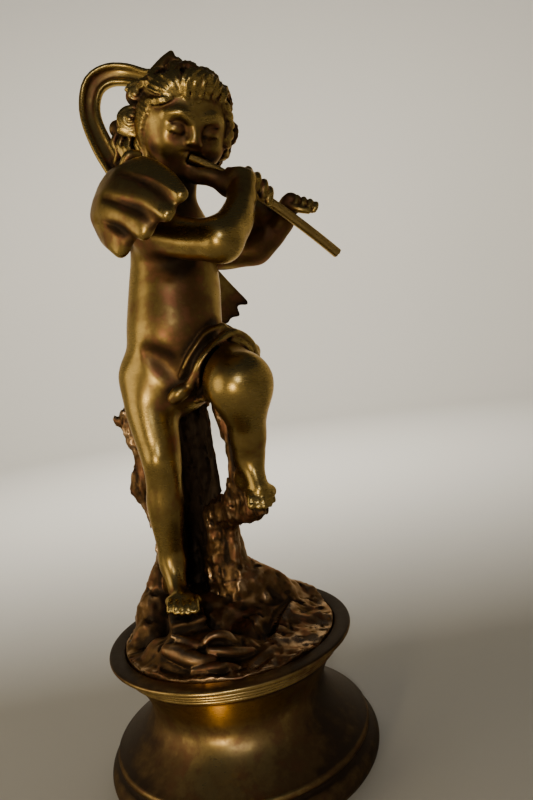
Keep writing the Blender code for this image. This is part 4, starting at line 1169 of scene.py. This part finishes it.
def build_pedestal():
    """The turned outline, swept round its axis. Its grooves and edges are found from the outline's bends."""
    outline = pedestal_profile()
    rings = outline[1:-1]
    turns = np.linspace(0, 2 * pi, TURNED_STEPS, endpoint=False)
    corners = [
        np.stack([radius * np.cos(turns), radius * np.sin(turns), np.full(TURNED_STEPS, level)], 1)
        for radius, level in rings
    ]
    corners = np.vstack([*corners, [[0, 0, outline[0][1]], [0, 0, 0]]])
    around = np.arange(TURNED_STEPS)
    after = (around + 1) % TURNED_STEPS
    form = bmesh.new()
    grid = [form.verts.new(corner * MM) for corner in corners]
    for ring in range(len(rings) - 1):
        low, high = ring * TURNED_STEPS, (ring + 1) * TURNED_STEPS
        for a, b in zip(around, after):
            form.faces.new([grid[low + a], grid[high + a], grid[high + b], grid[low + b]])
    last = (len(rings) - 1) * TURNED_STEPS
    for a, b in zip(around, after):
        form.faces.new([grid[-2], grid[a], grid[b]])
        form.faces.new([grid[-1], grid[last + b], grid[last + a]])
    mesh = bpy.data.meshes.new("turned pedestal")
    form.to_mesh(mesh)
    form.free()
    smooth = rings.copy()
    for _ in range(10):
        smooth[1:-1] = (smooth[:-2] + smooth[1:-1] * 2 + smooth[2:]) / 4
    way = np.gradient(rings, axis=0)
    length = np.maximum(np.linalg.norm(way, axis=1, keepdims=True), 1e-6)
    bend = ((smooth - rings) * np.stack([-way[:, 1], way[:, 0]], 1) / length).sum(1)
    bend = np.repeat(bend, TURNED_STEPS)
    add_mask(mesh, "hollow", np.append(np.clip(bend / FULL_GROOVE, 0, 1), [0, 0]))
    add_mask(mesh, "proud", np.append(np.clip(-bend / FULL_GROOVE, 0, 1), [0, 0]))
    piece = dressed("turned_pedestal", mesh, pedestal_brass())
    mesh.set_sharp_from_angle(angle=radians(50))
    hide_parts("pedestal")
    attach(piece, "root")
    return piece


def rod_ring(centre, way, turns, reach, depth=0.0):
    """A ring of corners round the rod, in metres, reach from its centre and set back by depth."""
    way = unit(way)
    side = unit(np.cross(way, (0, 0, 1)))
    up = np.cross(side, way)
    reach, depth = np.broadcast_to(reach, turns.shape), np.broadcast_to(depth, turns.shape)
    ring = np.outer(np.cos(turns) * reach, side) + np.outer(np.sin(turns) * reach, up) - np.outer(depth, way)
    return (centre + ring) * MM


def build_flute():
    """The rod, slightly uneven, with a rough broken edge at its open end and a shallow bore there."""
    sides, rings = 32, 60
    burr = 1 + 0.10 * np.random.default_rng(9).uniform(-1, 1, sides)
    turns = 2 * pi * np.arange(sides) / sides
    loops = []
    for share in np.linspace(0, 1, rings):
        radius = FLUTE_RADIUS * (FLUTE_TAPER + (1 - FLUTE_TAPER) * share) - FLUTE_INSET
        reach = radius * (1 + 0.012 * np.sin(3 * turns + 9 * share))
        way = flute_point(min(share + 0.02, 1.02)) - flute_point(share - 0.02)
        loops.append(rod_ring(flute_point(share), way, turns, reach))
    loops[-1] = rod_ring(flute_point(1), way, turns, reach * np.minimum(burr, 1), 1.75 * np.abs(burr - 1))
    way = flute_point(1.0) - flute_point(0.97)
    for share, depth in ((0.72, 0.15), (0.62, 0.9), (0.3, 1.2)):
        loops.append(rod_ring(flute_point(1), way, turns, FLUTE_RADIUS * share, depth))
    mesh = turned_mesh("flute rod", loops, lids=(0, -1))
    marks = np.zeros(len(mesh.vertices))
    marks[rings * sides:] = 1
    add_mask(mesh, "hollow", marks)
    add_mask(mesh, "proud", np.full(len(mesh.vertices), 0.2))
    piece = dressed("flute_rod", mesh, flute_brass())
    mesh.set_sharp_from_angle(angle=radians(45))
    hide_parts("flute")
    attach(piece, "root")
    return piece


# The finish

class Nodes:
    """Short calls for laying out a node tree."""

    def __init__(self, tree):
        self.tree = tree

    def add(self, kind, inputs=None, **settings):
        """A node with these inputs and settings."""
        node = self.tree.nodes.new(kind)
        for name, value in settings.items():
            setattr(node, name, value)
        for name, value in (inputs or {}).items():
            self.plug(node.inputs[name], value)
        return node

    def plug(self, socket, value):
        """Gives a socket a value, or links another socket to it."""
        if isinstance(value, bpy.types.NodeSocket):
            self.tree.links.new(value, socket)
        else:
            socket.default_value = value

    def reckon(self, operation, first, second):
        """One step of arithmetic."""
        node = self.add("ShaderNodeMath", operation=operation)
        self.plug(node.inputs[0], first)
        self.plug(node.inputs[1], second)
        return node.outputs[0]

    def plus(self, first, second):
        return self.reckon("ADD", first, second)

    def minus(self, first, second):
        return self.reckon("SUBTRACT", first, second)

    def times(self, first, second):
        return self.reckon("MULTIPLY", first, second)

    def spread(self, value, low, high, first=0.0, last=1.0):
        """Value mapped smoothly from low..high to first..last."""
        node = self.add("ShaderNodeMapRange", interpolation_type="SMOOTHSTEP")
        given = {"Value": value, "From Min": low, "From Max": high, "To Min": first, "To Max": last}
        for name, amount in given.items():
            self.plug(node.inputs[name], amount)
        return node.outputs[0]

    def mix(self, share, first, second):
        node = self.add("ShaderNodeMix", data_type="RGBA")
        self.plug(node.inputs[0], share)
        self.plug(node.inputs[6], first)
        self.plug(node.inputs[7], second)
        return node.outputs[2]

    def noise(self, place, scale, detail=4.0, rough=0.55):
        inputs = {"Vector": place, "Scale": scale, "Detail": detail, "Roughness": rough}
        return self.add("ShaderNodeTexNoise", inputs).outputs["Fac"]


def patina_group():
    """Old brass: bright where rubbed, brown where handled less or under painted shade, near black and
    red-brown in the hollows.
    """
    group = bpy.data.node_groups.get("patina")
    if group:
        return group
    group = bpy.data.node_groups.new("patina", "ShaderNodeTree")
    sockets = (
        ("Place", "NodeSocketVector"), ("Hollow", "NodeSocketFloat"), ("Proud", "NodeSocketFloat"),
        ("Dull and shade", "NodeSocketFloat"), ("Bright", "NodeSocketColor"), ("Brown", "NodeSocketColor"),
        ("Dark", "NodeSocketColor"), ("Red", "NodeSocketColor"),
    )
    for name, kind in sockets:
        group.interface.new_socket(name, in_out="INPUT", socket_type=kind)
    for name, kind in (("Color", "NodeSocketColor"), ("Roughness", "NodeSocketFloat"),
                       ("Metallic", "NodeSocketFloat"), ("Height", "NodeSocketFloat")):
        group.interface.new_socket(name, in_out="OUTPUT", socket_type=kind)
    n = Nodes(group)
    given = n.add("NodeGroupInput").outputs
    broad = n.noise(given["Place"], 70.0, 3.0)
    blotch = n.noise(given["Place"], 260.0, 5.0, 0.62)
    speck = n.noise(given["Place"], 1500.0, 3.0, 0.7)
    streak_place = n.add("ShaderNodeMapping", {"Vector": given["Place"], "Scale": (1.0, 1.0, 9.0)}).outputs[0]
    streak = n.noise(streak_place, 420.0, 4.0, 0.7)

    unrest = n.plus(n.times(n.minus(broad, 0.5), 0.9), n.times(n.minus(blotch, 0.5), 0.7))
    # The age of the patina together with any painted shade, which browns and darkens alike.
    age_and_shade = n.plus(n.times(given["Hollow"], 1.15), given["Dull and shade"])
    age_and_shade = n.minus(n.plus(age_and_shade, n.times(unrest, 0.95)), n.times(given["Proud"], 0.5))
    browned = n.spread(age_and_shade, 0.02, 0.52)
    darkened = n.spread(age_and_shade, 0.42, 0.95)
    colour = n.mix(browned, given["Bright"], given["Brown"])
    redness = n.times(n.spread(blotch, 0.46, 0.66), n.spread(age_and_shade, 0.12, 0.5))
    colour = n.mix(n.times(redness, 0.75), colour, given["Red"])
    colour = n.mix(darkened, colour, given["Dark"])
    colour = n.mix(n.spread(speck, 0.66, 0.78, 0.0, 0.45), colour, given["Dark"])

    rough = n.plus(n.spread(age_and_shade, 0.0, 0.8, 0.28, 0.58), n.times(n.minus(streak, 0.5), 0.16))
    metallic = n.spread(age_and_shade, 0.5, 1.0, 1.0, 0.55)
    height = n.plus(n.times(streak, 0.30), n.times(blotch, 0.55))
    height = n.minus(height, n.spread(speck, 0.64, 0.8, 0.0, 0.5))
    results = {"Color": colour, "Roughness": rough, "Metallic": metallic, "Height": height}
    n.add("NodeGroupOutput", results)
    return group


def brass(name, dull_and_shade, bright, brown, red, relief):
    """A brass with this finish. The dulling function gives how dull it is and how much painted shade it
    carries, from the nodes and the masks of its piece.
    """
    made = bpy.data.materials.new(name)
    made.use_nodes = True
    made.node_tree.nodes.clear()
    n = Nodes(made.node_tree)
    place = n.add("ShaderNodeTexCoord").outputs["Object"]

    def mask(which):
        return n.add("ShaderNodeAttribute", attribute_name=which).outputs["Fac"]

    aged = n.add("ShaderNodeGroup", node_tree=patina_group())
    inputs = {
        "Place": place, "Hollow": mask("hollow"), "Proud": mask("proud"), "Dull and shade": dull_and_shade(n, mask, place),
        "Bright": bright(n, mask), "Brown": (*brown, 1), "Dark": (*NEAR_BLACK, 1), "Red": (*red, 1),
    }
    for socket, value in inputs.items():
        n.plug(aged.inputs[socket], value)
    bump = n.add("ShaderNodeBump", {"Strength": relief, "Distance": 0.0002, "Height": aged.outputs["Height"]})
    shader = n.add("ShaderNodeBsdfPrincipled", {
        "Base Color": aged.outputs["Color"], "Roughness": aged.outputs["Roughness"],
        "Metallic": aged.outputs["Metallic"], "Specular IOR Level": 0.3,
        "Specular Tint": (0.72, 0.62, 0.50, 1), "Normal": bump.outputs["Normal"],
    })
    n.add("ShaderNodeOutputMaterial", {"Surface": shader.outputs["BSDF"]})
    return made


GOLD = (0.37, 0.26, 0.088)
PALE_GOLD = (0.46, 0.32, 0.12)
WOOD_GOLD = (0.40, 0.265, 0.155)
BROWN = (0.145, 0.082, 0.035)
SIDE_BROWN = (0.16, 0.10, 0.045)
NEAR_BLACK = (0.03, 0.019, 0.012)
RED_BROWN = (0.30, 0.13, 0.07)
DULL_RED = (0.20, 0.10, 0.05)


def casting_brass():
    """Gold where the skin is rubbed, duller on hair, wings and cloth, dullest on the bark and the ground,
    darker under painted shade.
    """
    def dull_and_shade(n, mask, place):
        # Painted shade from its mask, on top of the parts' own dullness.
        total = n.plus(mask("painted_shade"), 0.06)
        for part, amount in (("wood", 0.36), ("hair", 0.16), ("cloth", 0.10), ("wings", 0.16)):
            total = n.plus(total, n.times(mask(part), amount))
        return total

    def bright(n, mask):
        return n.mix(mask("wood"), (*GOLD, 1), (*WOOD_GOLD, 1))

    return brass("cast brass", dull_and_shade, bright, BROWN, RED_BROWN, 0.35)


def pale_gold(n, mask):
    return (*PALE_GOLD, 1)


def pedestal_brass():
    """Pale at the front, dark on the rim's flat top and at the foot, and painted shade at the sides and at
    the back.
    """
    def dull_and_shade(n, mask, place):
        split = n.add("ShaderNodeSeparateXYZ", {"Vector": place}).outputs
        flange = n.spread(split["Z"], (RIM_TOP - 0.5) * MM, (RIM_TOP - 0.1) * MM, 0.0, 0.8)
        foot = n.spread(split["Z"], 0.0, FOOT_HEIGHT * 2.4 * MM, 0.38, 0.0)
        # Painted shade: the turned brass darkened towards its sides and its back.
        sideways = n.reckon("ABSOLUTE", n.plus(split["X"], 4 * MM), 0.0)
        side = n.spread(sideways, 6 * MM, 32 * MM, 0.0, 0.66)
        back = n.spread(split["Y"], -14 * MM, 16 * MM, 0.0, 0.3)
        return n.plus(n.plus(flange, foot), n.plus(side, n.plus(back, 0.04)))

    return brass("turned brass", dull_and_shade, pale_gold, SIDE_BROWN, DULL_RED, 0.12)


def flute_brass():
    """A dull rod, darker inside its open end."""
    def dull_and_shade(n, mask, place):
        return n.plus(n.times(mask("hollow"), 0.2), 0.14)

    return brass("drawn brass", dull_and_shade, pale_gold, BROWN, RED_BROWN, 0.25)


# The stage

def build_stage():
    """A pale round floor that curves up into a wall far all round it."""
    bend, wall, top, turns = 0.3, 1.15, 1.0, 96
    outline = [(0.05, 0.0), (0.3, 0.0), (wall - bend, 0.0)]
    outline += [(wall - bend + bend * sin(a), bend - bend * cos(a)) for a in np.linspace(0, pi / 2, 16)[1:]]
    outline += [(wall, top)]
    angles = [2 * pi * turn / turns for turn in range(turns)]
    rings = [[(radius * cos(a), radius * sin(a), level) for a in angles] for radius, level in outline]
    pale = bpy.data.materials.new("pale floor")
    pale.use_nodes = True
    shader = pale.node_tree.nodes["Principled BSDF"]
    shader.inputs["Base Color"].default_value = (0.66, 0.63, 0.56, 1)
    shader.inputs["Roughness"].default_value = 0.9
    floor = dressed("floor", turned_mesh("floor", rings, lids=(0,)), pale)


def add_light(name, place, target, size, power, colour):
    """A round soft light at a place, in metres, turned towards a target."""
    light = bpy.data.lights.new(name, "AREA")
    light.shape = "DISK"
    light.size = size
    light.energy = power
    light.color = colour
    lamp = bpy.data.objects.new(name, light)
    lamp.location = place
    lamp.rotation_euler = (Vector(target) - Vector(place)).to_track_quat("-Z", "Y").to_euler()
    bpy.context.scene.collection.objects.link(lamp)


def build_lights():
    """A low warm key from the left, a small lamp over it, a soft side light, and one on the wall behind."""
    middle = (0, 0, 0.11)
    add_light("key", (-0.27, -0.56, 0.08), middle, 0.10, 0.95, (1.0, 0.82, 0.50))
    add_light("lamp", (-0.06, -0.585, 0.32), middle, 0.045, 0.48, (1.0, 0.96, 0.90))
    add_light("side", (-0.62, -0.12, 0.20), middle, 0.46, 0.9, (1.0, 0.84, 0.56))
    add_light("backdrop", (0.0, 0.25, 0.55), (0.02, 1.15, 0.22), 0.35, 10.0, (1.0, 0.97, 0.92))
    world = bpy.data.worlds.new("studio")
    world.use_nodes = True
    world.node_tree.nodes["Background"].inputs["Color"].default_value = (0.80, 0.84, 0.95, 1)
    world.node_tree.nodes["Background"].inputs["Strength"].default_value = 0.06
    bpy.context.scene.world = world


def build_camera():
    """A close wide-angle view, square to the figure, rolled as the photograph is."""
    lens_share = 0.8
    place = Vector((7.6, -190.0, 121.4)) * MM
    yaw, pitch, roll = radians(3.9), radians(4.4), radians(-8.0)
    front = Vector((sin(yaw) * cos(pitch), cos(yaw) * cos(pitch), -sin(pitch)))
    level = Vector((cos(yaw), -sin(yaw), 0.0))
    above = level.cross(front)
    right = level * cos(roll) + above * sin(roll)
    up = above * cos(roll) - level * sin(roll)
    lens = bpy.data.cameras.new("photo camera")
    lens.sensor_width = 36.0
    lens.lens = lens.sensor_width * lens_share
    lens.clip_start = 0.005
    camera = bpy.data.objects.new("photo camera", lens)
    turn = Matrix((right, up, -front)).transposed()
    camera.matrix_world = Matrix.Translation(place) @ turn.to_4x4()
    bpy.context.scene.collection.objects.link(camera)
    bpy.context.scene.camera = camera


def write_sizes():
    """Brings the view layer up to date."""
    bpy.context.view_layer.update()


build_casting()
build_pedestal()
build_flute()
build_stage()
build_lights()
build_camera()
write_sizes()
